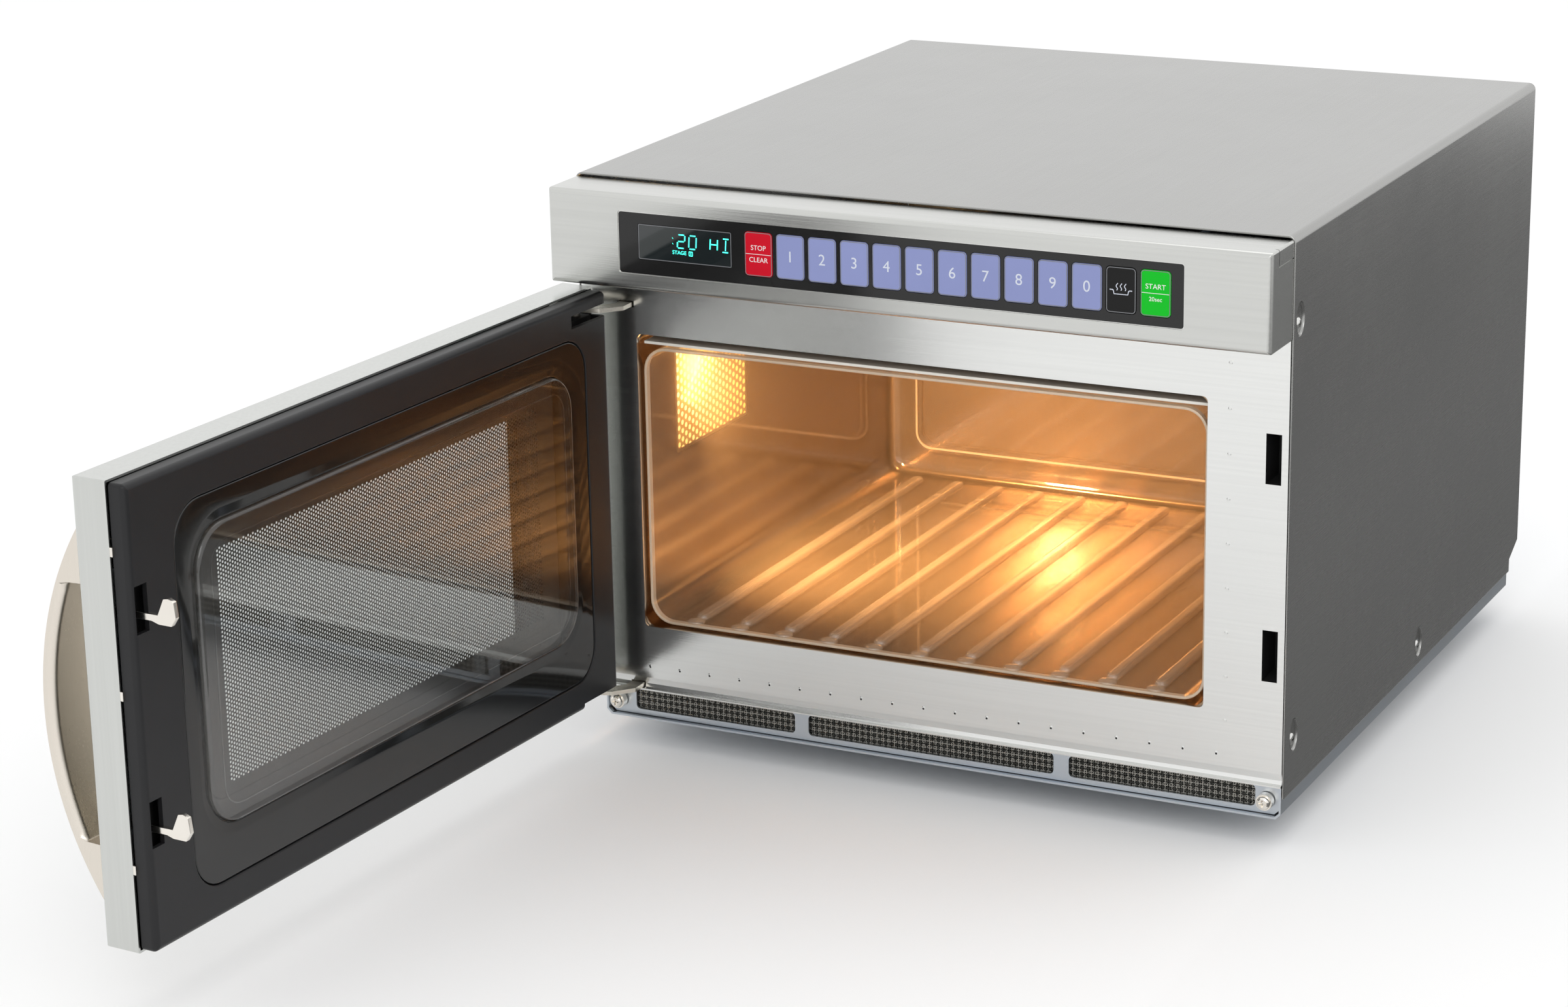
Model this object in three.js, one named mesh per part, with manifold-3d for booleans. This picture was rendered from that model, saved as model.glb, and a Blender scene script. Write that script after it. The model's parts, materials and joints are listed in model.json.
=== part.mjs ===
// A compact commercial microwave oven with a side-hinged door, standing open, as separate solids.
// Millimetres. Inside the oven group, x runs from the cabinet's left side, y backwards from the front
// plate's face, and z up from the underside of the base pan. The door is drawn closed and then swung.
import * as THREE from "three";
import { mergeVertices } from "three/addons/utils/BufferGeometryUtils.js";
import Module from "manifold-3d";

const wasm = await Module();
wasm.setup();

// ---- Driving dimensions ----
const CABINET = { width: 422, depth: 442, height: 320, corner: 4 };
const SHEET = 1.2;
const GAP = 0.3;
// The origin, in the oven's coordinates: the bottom centre of the whole as it stands, door open.
const ORIGIN = { x: 180, y: 5, z: -17 };
const FOOT = { height: 17, top: 15, bottom: 12.5, sides: [75, 347], rows: [72, 370] };
const BASE = { left: 9, right: 420.5, depth: 425, wall: 26, chamfer: 3 };
const BEZEL = { left: 0.8, right: 421.2, bottom: 264.6, top: 318, reach: 33, edge: 3 };
const PLATE = { left: 1.5, right: 420.5, bottom: 18.4, thickness: 1.5 };
const OPENING = { x: [36, 375.7], z: [57.3, 230.3], corner: 3 };
const CAVITY = { depth: 336, corner: 8 };
const LINER = { x: [37, 374.7], y: [5, 331], z: [58.2, 222], wall: 2, corner: 14 };
const RIBS = { count: 11, first: 63.5, pitch: 28.1, width: 5, height: 2.5, y: [16, 318] };
const LAMP_PATCH = { y: [44, 134], z: [148, 212] };
const LATCH_SLOTS = { x: [408.2, 416.8], lower: [77.4, 106], upper: [186.5, 214] };
const HINGE = { x: 8, y: -20, open: 93.5, pin: 3, hole: 3.1 };
const HINGE_ARM = { thickness: 2.4, lower: 20, upper: 246, neck: [26, 34], boss: 6 };
const DOOR = { x: [0.8, 420.8], z: [19.4, 259], outer: -33, wrap: 20.4, inner: -2.5 };
const DOOR_SLOTS = { depth: [-27.5, 0], length: 38, upper: [243.6, 251], lower: [18, 25] };
const DOOR_WINDOW = { seam: { x: [25, 386], z: [38, 238], r: 20 }, pane: { x: [41, 371], z: [66, 222], r: 22 } };
const OUTER_WINDOW = { x: [62, 358], z: [58, 226], r: 10 };
const HANDLE = { x: [384, 416], z: [36, 236], bow: 32, bar: 6.4, grip: [70, 203], wall: 4 };
const HOOKS = { x: [410.8, 413.8], lower: 83.5, upper: 192 };
const HOOK_SLOT = { x: [408, 417], below: 9, above: 15 };
const LATCH_BAR = { x: [405.2, 410.5], y: [-26, -14], z: [62, 212] };
const FASCIA = { x: [44.8, 373.9], z: [274.1, 308.3], front: -32.4, thickness: 1.8 };
const DISPLAY = { x: [56.9, 113.9], z: [282.6, 302] };
const KEYS = { first: 122.1, pitch: 19, width: 16.6, z: [279.3, 303.7], y: [-32.6, -29.5], corner: 2.2 };
const KEY_NAMES = ["stop", "1", "2", "3", "4", "5", "6", "7", "8", "9", "0", "heat", "start"];
const FILTER = { x: [10.6, 418.9], z: [1.6, 18], y: 3, windows: [[27, 129.5], [138, 288], [297, 405]] };
const THUMB_SCREWS = { left: 17, right: 411.5, z: 9.5, head: 4.7, shank: 2 };
const BLOWER = { x: [330, 372], y: 388, z: 172, bore: 42, wheel: 38, shaft: 3 };
const STIRRER = [205, 170];
const LAMP = [18, 186];
const ANTENNA = [195, 390];
const CORD = [350, 70];
const LOUVRES = { rows: 7, pitch: 12, first: 200, height: 5, columns: [70, 140], width: 56 };

// ---- Materials ----
const finish = (color, roughness, metalness, extra = {}) =>
  new THREE.MeshStandardMaterial({ color, roughness, metalness, ...extra });
const STAINLESS = finish(0x9c9b96, 0.35, 1);
const FRONT_STEEL = finish(0xc9c7c0, 0.3, 1);
const ZINC = finish(0x9aa4a8, 0.4, 1);
const CAVITY_STEEL = finish(0xa8a49c, 0.4, 1);
const CLEAR_LINER = finish(0xf0dcc0, 0.15, 0, { transparent: true, opacity: 0.35 });
const BLACK_COVER = finish(0x202022, 0.45, 0);
const BLACK_GLOSS = finish(0x0a0a0b, 0.08, 0);
const WINDOW_GLASS = finish(0x50504e, 0.05, 0, { transparent: true, opacity: 0.35 });
const DARK_SCREEN = finish(0x3a3a3a, 0.5, 0.6);
const CHAMPAGNE = finish(0xcbc3b4, 0.32, 1);
const NICKEL = finish(0xd8d2c8, 0.2, 1);
const RUBBER = finish(0x1a1a1a, 0.9, 0);
const MESH_STEEL = finish(0x6c6a64, 0.5, 0.8);
const BOARD = finish(0x1f5a36, 0.6, 0);
const COIL = finish(0x8a4a22, 0.5, 0.4);
const BLACK_PLASTIC = finish(0x151515, 0.55, 0);
const WHITE_PLASTIC = finish(0xe4e1d8, 0.5, 0);
const BULB_GLASS = finish(0xfff0cc, 0.1, 0, { transparent: true, opacity: 0.6 });
const CERAMIC = finish(0xe9e6dc, 0.7, 0);
const DISPLAY_GLASS = finish(0x0c1a18, 0.1, 0);
const KEY_COLOURS = { stop: 0xb01022, heat: 0x131313, start: 0x22a03c, number: 0x8f9cc8 };

// ---- Solids ----
// A closed three.js geometry as a solid that can be joined and cut.
function solid(geometry) {
  const bare = geometry.index ? geometry.toNonIndexed() : geometry.clone();
  bare.deleteAttribute("normal");
  bare.deleteAttribute("uv");
  const merged = mergeVertices(bare, 1e-4);
  return new wasm.Manifold(
    new wasm.Mesh({
      numProp: 3,
      vertProperties: merged.attributes.position.array,
      triVerts: new Uint32Array(merged.index.array),
    }),
  );
}

const join = (first, ...rest) => rest.reduce((a, b) => a.add(b), first);
const cut = (first, ...rest) => rest.reduce((a, b) => a.subtract(b), first);
const grow = ([from, to], by) => [from - by, to + by];
const middle = ([from, to]) => (from + to) / 2;
const radians = THREE.MathUtils.degToRad;

function box([x0, x1], [y0, y1], [z0, z1]) {
  const g = new THREE.BoxGeometry(x1 - x0, y1 - y0, z1 - z0);
  return solid(g.translate((x0 + x1) / 2, (y0 + y1) / 2, (z0 + z1) / 2));
}

const AXIS = { x: new THREE.Vector3(1, 0, 0), y: new THREE.Vector3(0, 1, 0), z: new THREE.Vector3(0, 0, 1) };

// An outline drawn in the plane xy, xz or yz, and extruded between two places on the plane's normal.
function slab(plane, outline, [from, to], curveSegments = 2) {
  const g = new THREE.ExtrudeGeometry(outline, { depth: to - from, bevelEnabled: false, curveSegments });
  const turn = new THREE.Matrix4();
  if (plane === "xz") turn.makeBasis(AXIS.x, AXIS.z, AXIS.y.clone().negate());
  if (plane === "yz") turn.makeBasis(AXIS.y, AXIS.z, AXIS.x);
  g.applyMatrix4(turn);
  if (plane === "xy") g.translate(0, 0, from);
  if (plane === "xz") g.translate(0, to, 0);
  if (plane === "yz") g.translate(from, 0, 0);
  return solid(g);
}

function polygon(points) {
  return new THREE.Shape(points.map(([u, v]) => new THREE.Vector2(u, v)));
}

function roundedRect([u0, u1], [v0, v1], r) {
  const s = new THREE.Shape();
  s.moveTo(u0 + r, v0);
  s.lineTo(u1 - r, v0);
  s.absarc(u1 - r, v0 + r, r, -Math.PI / 2, 0, false);
  s.lineTo(u1, v1 - r);
  s.absarc(u1 - r, v1 - r, r, 0, Math.PI / 2, false);
  s.lineTo(u0 + r, v1);
  s.absarc(u0 + r, v1 - r, r, Math.PI / 2, Math.PI, false);
  s.lineTo(u0, v0 + r);
  s.absarc(u0 + r, v0 + r, r, Math.PI, 1.5 * Math.PI, false);
  return s;
}

// A box whose front edges, on the -y side, are rounded; its back is cut square.
function roundFrontBox(x, z, [front, back], edge) {
  const outline = roundedRect(grow(x, -edge), grow(z, -edge), 0.4);
  const g = new THREE.ExtrudeGeometry(outline, {
    depth: back - front,
    bevelThickness: edge,
    bevelSize: edge,
    bevelSegments: 2,
    curveSegments: 1,
  });
  g.applyMatrix4(new THREE.Matrix4().makeBasis(AXIS.x, AXIS.z, AXIS.y.clone().negate()));
  g.translate(0, back + edge, 0);
  return cut(solid(g), box(grow(x, 5), [back, back + 4 * edge], grow(z, 5)));
}

// A cylinder along an axis; centre holds the two coordinates across that axis, in x, y, z order.
function rod(axis, centre, radius, [from, to], sides = 16) {
  const g = new THREE.CylinderGeometry(radius, radius, to - from, sides);
  const along = (from + to) / 2;
  if (axis === "z") g.rotateX(Math.PI / 2).translate(centre[0], centre[1], along);
  if (axis === "y") g.translate(centre[0], along, centre[1]);
  if (axis === "x") g.rotateZ(-Math.PI / 2).translate(along, centre[0], centre[1]);
  return solid(g);
}

// A solid of revolution about a line along z or y; the profile lists [radius, place along the line].
function turned(axis, centre, profile, sides = 20) {
  const g = new THREE.LatheGeometry(profile.map(([r, h]) => new THREE.Vector2(r, h)), sides);
  if (axis === "z") g.rotateX(Math.PI / 2).translate(centre[0], centre[1], 0);
  if (axis === "y") g.translate(centre[0], 0, centre[1]);
  return solid(g);
}

function mesh(name, made, material) {
  const { numProp, vertProperties, triVerts } = made.getMesh();
  const places = new Float32Array((vertProperties.length / numProp) * 3);
  for (let i = 0; i < places.length / 3; i++)
    places.set(vertProperties.subarray(i * numProp, i * numProp + 3), i * 3);
  const g = new THREE.BufferGeometry();
  g.setAttribute("position", new THREE.BufferAttribute(places, 3));
  g.setIndex(new THREE.BufferAttribute(new Uint32Array(triVerts), 1));
  const flat = g.toNonIndexed();
  flat.computeVertexNormals();
  const m = new THREE.Mesh(flat, material);
  m.name = name;
  return m;
}

// ---- Cabinet ----
// The base pan: a floor with chamfered corners, side walls, and two lugs for the thumb screws.
function basePan() {
  const { left, right, depth, wall, chamfer } = BASE;
  const inner = chamfer - 0.5;
  const section = polygon([
    [left, wall],
    [left, chamfer],
    [left + chamfer, 0],
    [right - chamfer, 0],
    [right, chamfer],
    [right, wall],
    [right - SHEET, wall],
    [right - SHEET, chamfer + 0.5],
    [right - SHEET - inner, SHEET],
    [left + SHEET + inner, SHEET],
    [left + SHEET, chamfer + 0.5],
    [left + SHEET, wall],
  ]);
  const clearOfPlate = box([0, CABINET.width], [-1, 4.5], [PLATE.bottom - GAP, wall + 1]);
  let pan = cut(slab("xz", section, [0, depth]), clearOfPlate);
  for (const x of [THUMB_SCREWS.left, THUMB_SCREWS.right]) {
    const lug = cut(box(grow([x, x], 5), [9, 11], [0.5, 16]), rod("y", [x, THUMB_SCREWS.z], 2.6, [8, 12]));
    pan = join(pan, lug);
  }
  return pan;
}

function foot(x, y) {
  const { height, top, bottom } = FOOT;
  return turned("z", [x, y], [[0, -height], [bottom, -height], [top, -4], [top, -GAP], [0, -GAP]], 16);
}

// The wrap: top and both sides from one sheet, its lower rear corners cut back.
function cabinetCover() {
  const { width, depth, height, corner } = CABINET;
  const bottom = 12;
  const s = new THREE.Shape();
  s.moveTo(0, bottom);
  s.lineTo(0, height - corner);
  s.absarc(corner, height - corner, corner, Math.PI, Math.PI / 2, true);
  s.lineTo(width - corner, height);
  s.absarc(width - corner, height - corner, corner, Math.PI / 2, 0, true);
  s.lineTo(width, bottom);
  s.lineTo(width - SHEET, bottom);
  s.lineTo(width - SHEET, height - corner);
  s.absarc(width - corner, height - corner, corner - SHEET, 0, Math.PI / 2, false);
  s.lineTo(corner, height - SHEET);
  s.absarc(corner, height - corner, corner - SHEET, Math.PI / 2, Math.PI, false);
  s.lineTo(SHEET, bottom);
  const rearCorners = polygon([[BASE.depth, bottom - 1], [depth + 1, bottom - 1], [depth + 1, 29], [BASE.depth, 20]]);
  return cut(slab("xz", s, [0, depth], 3), slab("yz", rearCorners, [-1, width + 1]));
}

function rearPanel() {
  const { width, depth, height } = CABINET;
  const x = [SHEET + GAP, width - SHEET - GAP];
  const outline = roundedRect(x, [28, height - SHEET - GAP], CABINET.corner);
  let panel = slab("xz", outline, [depth - 2.4, depth - SHEET]);
  panel = join(panel, box(x, [BASE.depth + GAP, depth - SHEET], [28, 28 + SHEET]));
  const { rows, pitch, first, height: open, columns, width: long } = LOUVRES;
  for (let row = 0; row < rows; row++)
    for (const left of columns) {
      const low = first + row * pitch;
      panel = cut(panel, box([left, left + long], [depth - 4, depth], [low, low + open]));
    }
  return cut(panel, rod("y", CORD, 8.5, [depth - 4, depth]));
}

// The front plate: cavity opening, latch slots, slots for the hinge arms, and a hooked lower lip.
function frontPlate() {
  const { left, right, bottom, thickness } = PLATE;
  const lip = polygon([
    [0, 27],
    [0.8, 24.5],
    [1.2, 22],
    [0.5, 20],
    [-1.2, 19.2],
    [-1.2, bottom],
    [2.2, bottom],
    [2.7, 27],
  ]);
  const sheet = box([left, right], [0, thickness], [26, BEZEL.top - 3]);
  const slots = [LATCH_SLOTS.lower, LATCH_SLOTS.upper].map((z) => box(LATCH_SLOTS.x, [-3, 5], z));
  const armSlots = [HINGE_ARM.lower, HINGE_ARM.upper].map((z) =>
    box(grow(HINGE_ARM.neck, 0.8), [-3, 5], grow([z, z + HINGE_ARM.thickness], 0.6)),
  );
  return cut(
    join(sheet, slab("yz", lip, [left, right])),
    slab("xz", roundedRect(OPENING.x, OPENING.z, OPENING.corner), [-3, 5]),
    ...slots,
    ...armSlots,
  );
}

// The folded header over the door: a tray open at the back, with the fascia's window.
function controlBezel() {
  const x = [BEZEL.left, BEZEL.right];
  const z = [BEZEL.bottom, BEZEL.top];
  const outer = roundFrontBox(x, z, [-BEZEL.reach, -GAP], BEZEL.edge);
  const inner = box(grow(x, -SHEET), [-BEZEL.reach + SHEET, 5], grow(z, -SHEET));
  const window = slab("xz", roundedRect(grow(FASCIA.x, GAP), grow(FASCIA.z, GAP), 2), [-BEZEL.reach - 1, -25]);
  return cut(outer, inner, window);
}

// ---- Control panel ----
const keyPlace = (index) => {
  const left = KEYS.first + index * KEYS.pitch;
  return [left, left + KEYS.width];
};

function controlPanel() {
  const { x, z, front, thickness } = FASCIA;
  const plate = slab("xz", roundedRect(x, z, 1.7), [front, front + thickness]);
  const through = [front - 1, front + thickness + 1];
  const display = slab("xz", roundedRect(grow(DISPLAY.x, GAP), grow(DISPLAY.z, GAP), 1), through);
  const keys = KEY_NAMES.map((_, i) =>
    slab("xz", roundedRect(grow(keyPlace(i), GAP), grow(KEYS.z, GAP), KEYS.corner + GAP), through),
  );
  return cut(plate, display, ...keys);
}

function displayModule() {
  const glass = slab("xz", roundedRect(DISPLAY.x, DISPLAY.z, 0.8), [FASCIA.front + 0.1, -29]);
  return join(glass, box(grow(DISPLAY.x, -2), [-29.5, -27], grow(DISPLAY.z, -2)));
}

// The board behind the keys, with its transformer, relays and buzzer.
function controlBoard() {
  const board = box([48, 372], [-26.4, -24.8], [268, 314]);
  const parts = [
    box([60, 96], [-25.5, -2], [272, 304]),
    box([120, 140], [-25.5, -9], [274, 296]),
    box([150, 170], [-25.5, -9], [274, 296]),
    rod("y", [300, 290], 7, [-25.5, -14]),
    rod("y", [330, 286], 5, [-25.5, -6]),
  ];
  return join(board, ...parts);
}

const key = (index) => slab("xz", roundedRect(keyPlace(index), KEYS.z, KEYS.corner), KEYS.y);

// ---- Cavity ----
function cavityBox() {
  const { x, z } = OPENING;
  const outer = slab("xz", roundedRect(grow(x, SHEET), grow(z, SHEET), CAVITY.corner), [1.8, CAVITY.depth]);
  const inner = slab("xz", roundedRect(x, z, CAVITY.corner - 1), [0, CAVITY.depth - SHEET]);
  const lampHole = box([x[0] - 3, x[0] + 3], LAMP_PATCH.y, LAMP_PATCH.z);
  const feedHole = box([150, 240], [250, 310], [z[1] - 3, z[1] + 3]);
  return cut(outer, inner, lampHole, feedHole, rod("z", STIRRER, 6, [z[1] - 3, z[1] + 3]));
}

// The plate over the hole beside the lamp; its fine perforation is too small to cut here.
function lampScreen() {
  return box([34.9, 35.7], grow(LAMP_PATCH.y, -GAP), grow(LAMP_PATCH.z, -GAP));
}

// The removable liner: a clear box, open at the front, with ribs along its floor.
function cavityLiner() {
  const { x, y, z, wall, corner } = LINER;
  const shell = cut(
    slab("xz", roundedRect(x, z, corner), y, 3),
    slab("xz", roundedRect(grow(x, -wall), grow(z, -wall), corner - wall), [y[0] - 1, y[1] - wall], 3),
  );
  const floor = z[0] + wall;
  const ribs = Array.from({ length: RIBS.count }, (_, i) => {
    const centre = RIBS.first + i * RIBS.pitch;
    return box(grow([centre, centre], RIBS.width / 2), RIBS.y, [floor - 0.5, floor + RIBS.height]);
  });
  return join(shell, ...ribs);
}

const ceilingPlate = () => box(grow(OPENING.x, -1.5), [6, 330], [223.5, 225]);

// ---- Microwave feed, stirrer and lamp ----
function stirrer() {
  const z = [226.4, 228];
  let blades = rod("z", STIRRER, 12, z);
  const [x, y] = STIRRER;
  for (const [dx, dy] of [[50, 9], [9, 50]])
    blades = join(blades, box(grow([x, x], dx), grow([y, y], dy), z));
  return join(blades, rod("z", STIRRER, 3, [227, 238], 12));
}

const stirrerMotor = () =>
  join(box([180, 230], [150, 190], [238.6, 240.5]), rod("z", STIRRER, 19, [240, 258]));

// A channel over the cavity roof, from the magnetron at the back to the feed hole.
function waveguide() {
  const outer = box([148, 242], [240, 425], [232, 262]);
  const inner = box([150, 240], [242, 423], [234, 260]);
  const feed = box([152, 238], [252, 308], [230, 236]);
  return cut(outer, inner, feed, rod("z", ANTENNA, 11, [230, 236]));
}

function magnetron() {
  const body = box([160, 230], [352, 428], [150, 220]);
  const fins = Array.from({ length: 5 }, (_, i) => box([156, 234], [356, 424], [158 + i * 12, 161 + i * 12]));
  return join(body, ...fins, rod("z", ANTENNA, 9, [219, 246]));
}

function lampBulb() {
  const profile = [[0, 50], [5, 51.5], [9, 57], [10.5, 64], [9.5, 71], [6.5, 78], [6, 86], [0, 86]];
  return turned("y", LAMP, profile, 16);
}

const lampSocket = () =>
  join(rod("y", LAMP, 10, [86.5, 106]), box([2, 30], [98, 101], [170, 202]));

// ---- Power parts and blower in the rear bay ----
function powerTransformer() {
  const core = box([45, 135], [350, 414], [1.6, 80]);
  const coil = box([60, 120], [341, 424], [20, 62]);
  return join(core, coil);
}

function capacitor() {
  const can = slab("xy", roundedRect([160, 212], [352, 388], 17.9), [1.6, 96], 3);
  return join(can, box([172, 178], [366, 372], [95, 108]), box([194, 200], [366, 372], [95, 108]));
}

function blowerHousing() {
  const { x, y, z, bore } = BLOWER;
  const shell = join(rod("x", [y, z], bore + 2, x, 24), box(x, [y - bore - 2, y - 4], [112, z]));
  const hollow = rod("x", [y, z], bore, [x[0] + 2, x[1] + 1], 24);
  const outlet = box([x[0] + 2, x[1] - 2], [y - bore, y - 6], [110, z]);
  return cut(shell, hollow, outlet, rod("x", [y, z], 7, [x[0] - 1, x[0] + 3]));
}

function blowerWheel() {
  const { x, y, z, wheel } = BLOWER;
  const plate = rod("x", [y, z], wheel, [x[0] + 5, x[0] + 7], 24);
  const rim = cut(
    rod("x", [y, z], wheel, [x[1] - 6, x[1] - 4], 24),
    rod("x", [y, z], wheel - 7, [x[1] - 8, x[1]], 24),
  );
  const blades = Array.from({ length: 12 }, (_, i) => {
    const blade = new THREE.BoxGeometry(x[1] - x[0] - 10, 6, 1.4);
    blade.translate(middle(x), wheel - 3.6, 0).rotateX((i / 12) * 2 * Math.PI);
    return solid(blade.translate(0.5, y, z));
  });
  return join(plate, rim, ...blades, rod("x", [y, z], 6, [x[0] + 4, x[0] + 22]));
}

const blowerMotor = () =>
  join(
    rod("x", [BLOWER.y, BLOWER.z], 24, [288, BLOWER.x[0] - GAP], 20),
    rod("x", [BLOWER.y, BLOWER.z], BLOWER.shaft, [329, BLOWER.x[0] + 3.7], 12),
  );

const cordGland = () =>
  join(rod("y", CORD, 12, [CABINET.depth - 0.9, CABINET.depth - 0.1]), rod("y", CORD, 8, [434, 441.5]));

// ---- Door latch receiver and hinges ----
function latchReceiver() {
  const block = box([396, 419.5], [2, 36], [66, 226]);
  const pockets = [LATCH_SLOTS.lower, LATCH_SLOTS.upper].map((z) => box([406.5, 418], [1, 26], grow(z, 1.5)));
  return cut(block, ...pockets);
}

// A flat arm through the front plate, curling round to the pin's boss, with a flange behind the plate.
function hingeArm(level, flange, pin) {
  const { neck, boss, thickness } = HINGE_ARM;
  const s = new THREE.Shape();
  s.moveTo(neck[0], 4);
  s.lineTo(neck[0], -6.5);
  s.lineTo(19.5, -13);
  s.lineTo(HINGE.x, HINGE.y + boss);
  s.absarc(HINGE.x, HINGE.y, boss, Math.PI / 2, 1.5 * Math.PI, false);
  s.lineTo(24.5, HINGE.y - 1);
  s.lineTo(neck[1], -10.5);
  s.lineTo(neck[1], 4);
  const arm = slab("xy", s, [level, level + thickness], 4);
  return join(arm, box([22, 36], [3, 5.2], flange), rod("z", [HINGE.x, HINGE.y], HINGE.pin, pin));
}

const hingeArmUpper = () => hingeArm(HINGE_ARM.upper, [238, 262], [229, HINGE_ARM.upper + 1]);

function hingeArmLower() {
  const top = HINGE_ARM.lower + HINGE_ARM.thickness;
  const washer = rod("z", [HINGE.x, HINGE.y], 5, [top - 0.2, top + 1.4]);
  return join(hingeArm(HINGE_ARM.lower, [HINGE_ARM.lower, 50], [HINGE_ARM.lower + 1, 40]), washer);
}

// ---- Door, drawn closed ----
const hingeSlots = () =>
  [DOOR_SLOTS.upper, DOOR_SLOTS.lower].map((z) => box([-2, DOOR_SLOTS.length], DOOR_SLOTS.depth, z));

function doorSkin() {
  const back = DOOR.outer + DOOR.wrap;
  const outer = roundFrontBox(DOOR.x, DOOR.z, [DOOR.outer, back], 1.6);
  const inner = box(grow(DOOR.x, -SHEET), [DOOR.outer + SHEET, 0], grow(DOOR.z, -SHEET));
  const { x, z, r } = OUTER_WINDOW;
  return cut(outer, inner, slab("xz", roundedRect(x, z, r), [DOOR.outer - 1, -30]), ...hingeSlots());
}

const doorOuterGlass = () =>
  box(grow(OUTER_WINDOW.x, 10), [DOOR.outer + SHEET + GAP, -28.3], grow(OUTER_WINDOW.z, 10));

// The choke frame: a channel round the window, the bosses for the hinge pins, and the spring's lug.
function doorFrame() {
  const y = [-28, -12.8];
  const outer = { x: [22, 404.5], z: [27, 251] };
  const hole = { x: [58, 362], z: [50, 230] };
  const ring = cut(box(outer.x, y, outer.z), slab("xz", roundedRect(hole.x, hole.z, 10), [-30, 0]));
  const channel = cut(
    box(grow(outer.x, -SHEET), [y[0] + SHEET, 0], grow(outer.z, -SHEET)),
    slab("xz", roundedRect(grow(hole.x, SHEET), grow(hole.z, SHEET), 11), [-30, 1]),
  );
  const bosses = [[226, 243], [25.2, 42]].map((z) => box([2.8, 26], [-30, -13], z));
  const lug = box([403.8, 415], [-26, -14], [236.6, 238.2]);
  const pinHole = rod("z", [HINGE.x, HINGE.y], HINGE.hole, [20, 250]);
  return cut(join(cut(ring, channel), ...bosses, lug), pinHole, ...hingeSlots());
}

const doorScreen = () => box([46, 374], [-12.3, -11.5], [40, 240]);

// The black inner cover: a shallow tray with bevelled edges, the window's seam, and its slots.
function doorInnerCover() {
  const x = grow(DOOR.x, -1.4);
  const z = grow(DOOR.z, -1.4);
  const tray = roundFrontBox(x, z, [0, 9.4], 2.5);
  const placed = tray.mirror([0, 1, 0]).translate([0, DOOR.inner, 0]);
  const inner = box(grow(x, -2), [-20, DOOR.inner - 2], grow(z, -2));
  const { seam } = DOOR_WINDOW;
  const window = slab("xz", roundedRect(seam.x, seam.z, seam.r), [-8, 0], 3);
  const hookSlots = [HOOKS.lower, HOOKS.upper].map((h) =>
    box(HOOK_SLOT.x, [-8, 0], [h - HOOK_SLOT.below, h + HOOK_SLOT.above]),
  );
  return cut(placed, inner, window, ...hookSlots, ...hingeSlots());
}

function doorWindowFrame() {
  const { seam, pane } = DOOR_WINDOW;
  const outer = slab("xz", roundedRect(grow(seam.x, -0.5), grow(seam.z, -0.5), seam.r - 0.5), [-4.6, -2.8], 3);
  const opening = slab("xz", roundedRect(pane.x, pane.z, pane.r), [-6, 0], 3);
  return cut(outer, opening);
}

// The clear pane: a stepped plate whose raised middle fills the frame's opening.
function doorWindowGlass() {
  const { pane } = DOOR_WINDOW;
  const middlePlate = slab("xz", roundedRect(grow(pane.x, -GAP), grow(pane.z, -GAP), pane.r - GAP), [-6.5, -3.3], 3);
  const edge = slab("xz", roundedRect(grow(pane.x, 6), grow(pane.z, 6), pane.r), [-7.2, -4.9], 3);
  return join(middlePlate, edge);
}

// The bow handle: a segment of a circle, with a pocket for the fingers cut in from its free side.
function doorHandle() {
  const { x, z, bow, bar, grip, wall } = HANDLE;
  const half = (z[1] - z[0]) / 2;
  const radius = (half * half + bow * bow) / (2 * bow);
  const centre = { y: DOOR.outer - GAP - bow + radius, z: middle(z) };
  const steps = 16;
  const arc = (r, from, to) =>
    Array.from({ length: steps + 1 }, (_, i) => {
      const height = from + ((to - from) * i) / steps;
      return [centre.y - Math.sqrt(r * r - (height - centre.z) ** 2), height];
    });
  const bowOutline = polygon(arc(radius, z[0], z[1]));
  const back = DOOR.outer + 2;
  const gripOutline = polygon([[back, grip[0]], ...arc(radius - bar, grip[0], grip[1]), [back, grip[1]]]);
  const body = slab("yz", bowOutline, x);
  return cut(body, slab("yz", gripOutline, [x[0] + wall, x[1] + 5]));
}

// ---- Latch inside the door: two hooks on one sprung bar ----
function latchHook(height) {
  const outline = polygon([
    [-24, -1.8],
    [4, -1.8],
    [8, -3],
    [15.5, -3],
    [18.5, 1.5],
    [17.5, 9.5],
    [14.5, 10.8],
    [11.5, 10.4],
    [7.5, 1.8],
    [-24, 1.8],
  ]);
  return slab("yz", outline, HOOKS.x).translate([0, 0, height]);
}

const latchBar = () => box(LATCH_BAR.x, LATCH_BAR.y, LATCH_BAR.z);

// A coil spring between the top of the latch bar and the door frame's lug.
function latchSpring() {
  const turns = 5;
  const bottom = LATCH_BAR.z[1] + 1.2;
  const height = 22.4;
  class Helix extends THREE.Curve {
    getPoint(t, target = new THREE.Vector3()) {
      const angle = t * turns * 2 * Math.PI;
      return target.set(408 + 3 * Math.cos(angle), -20 + 3 * Math.sin(angle), bottom + height * t);
    }
  }
  const wire = new THREE.Shape().absarc(0, 0, 0.5, 0, 2 * Math.PI, false);
  const g = new THREE.ExtrudeGeometry(wire, { extrudePath: new Helix(), steps: turns * 8, curveSegments: 3 });
  return solid(g);
}

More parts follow.
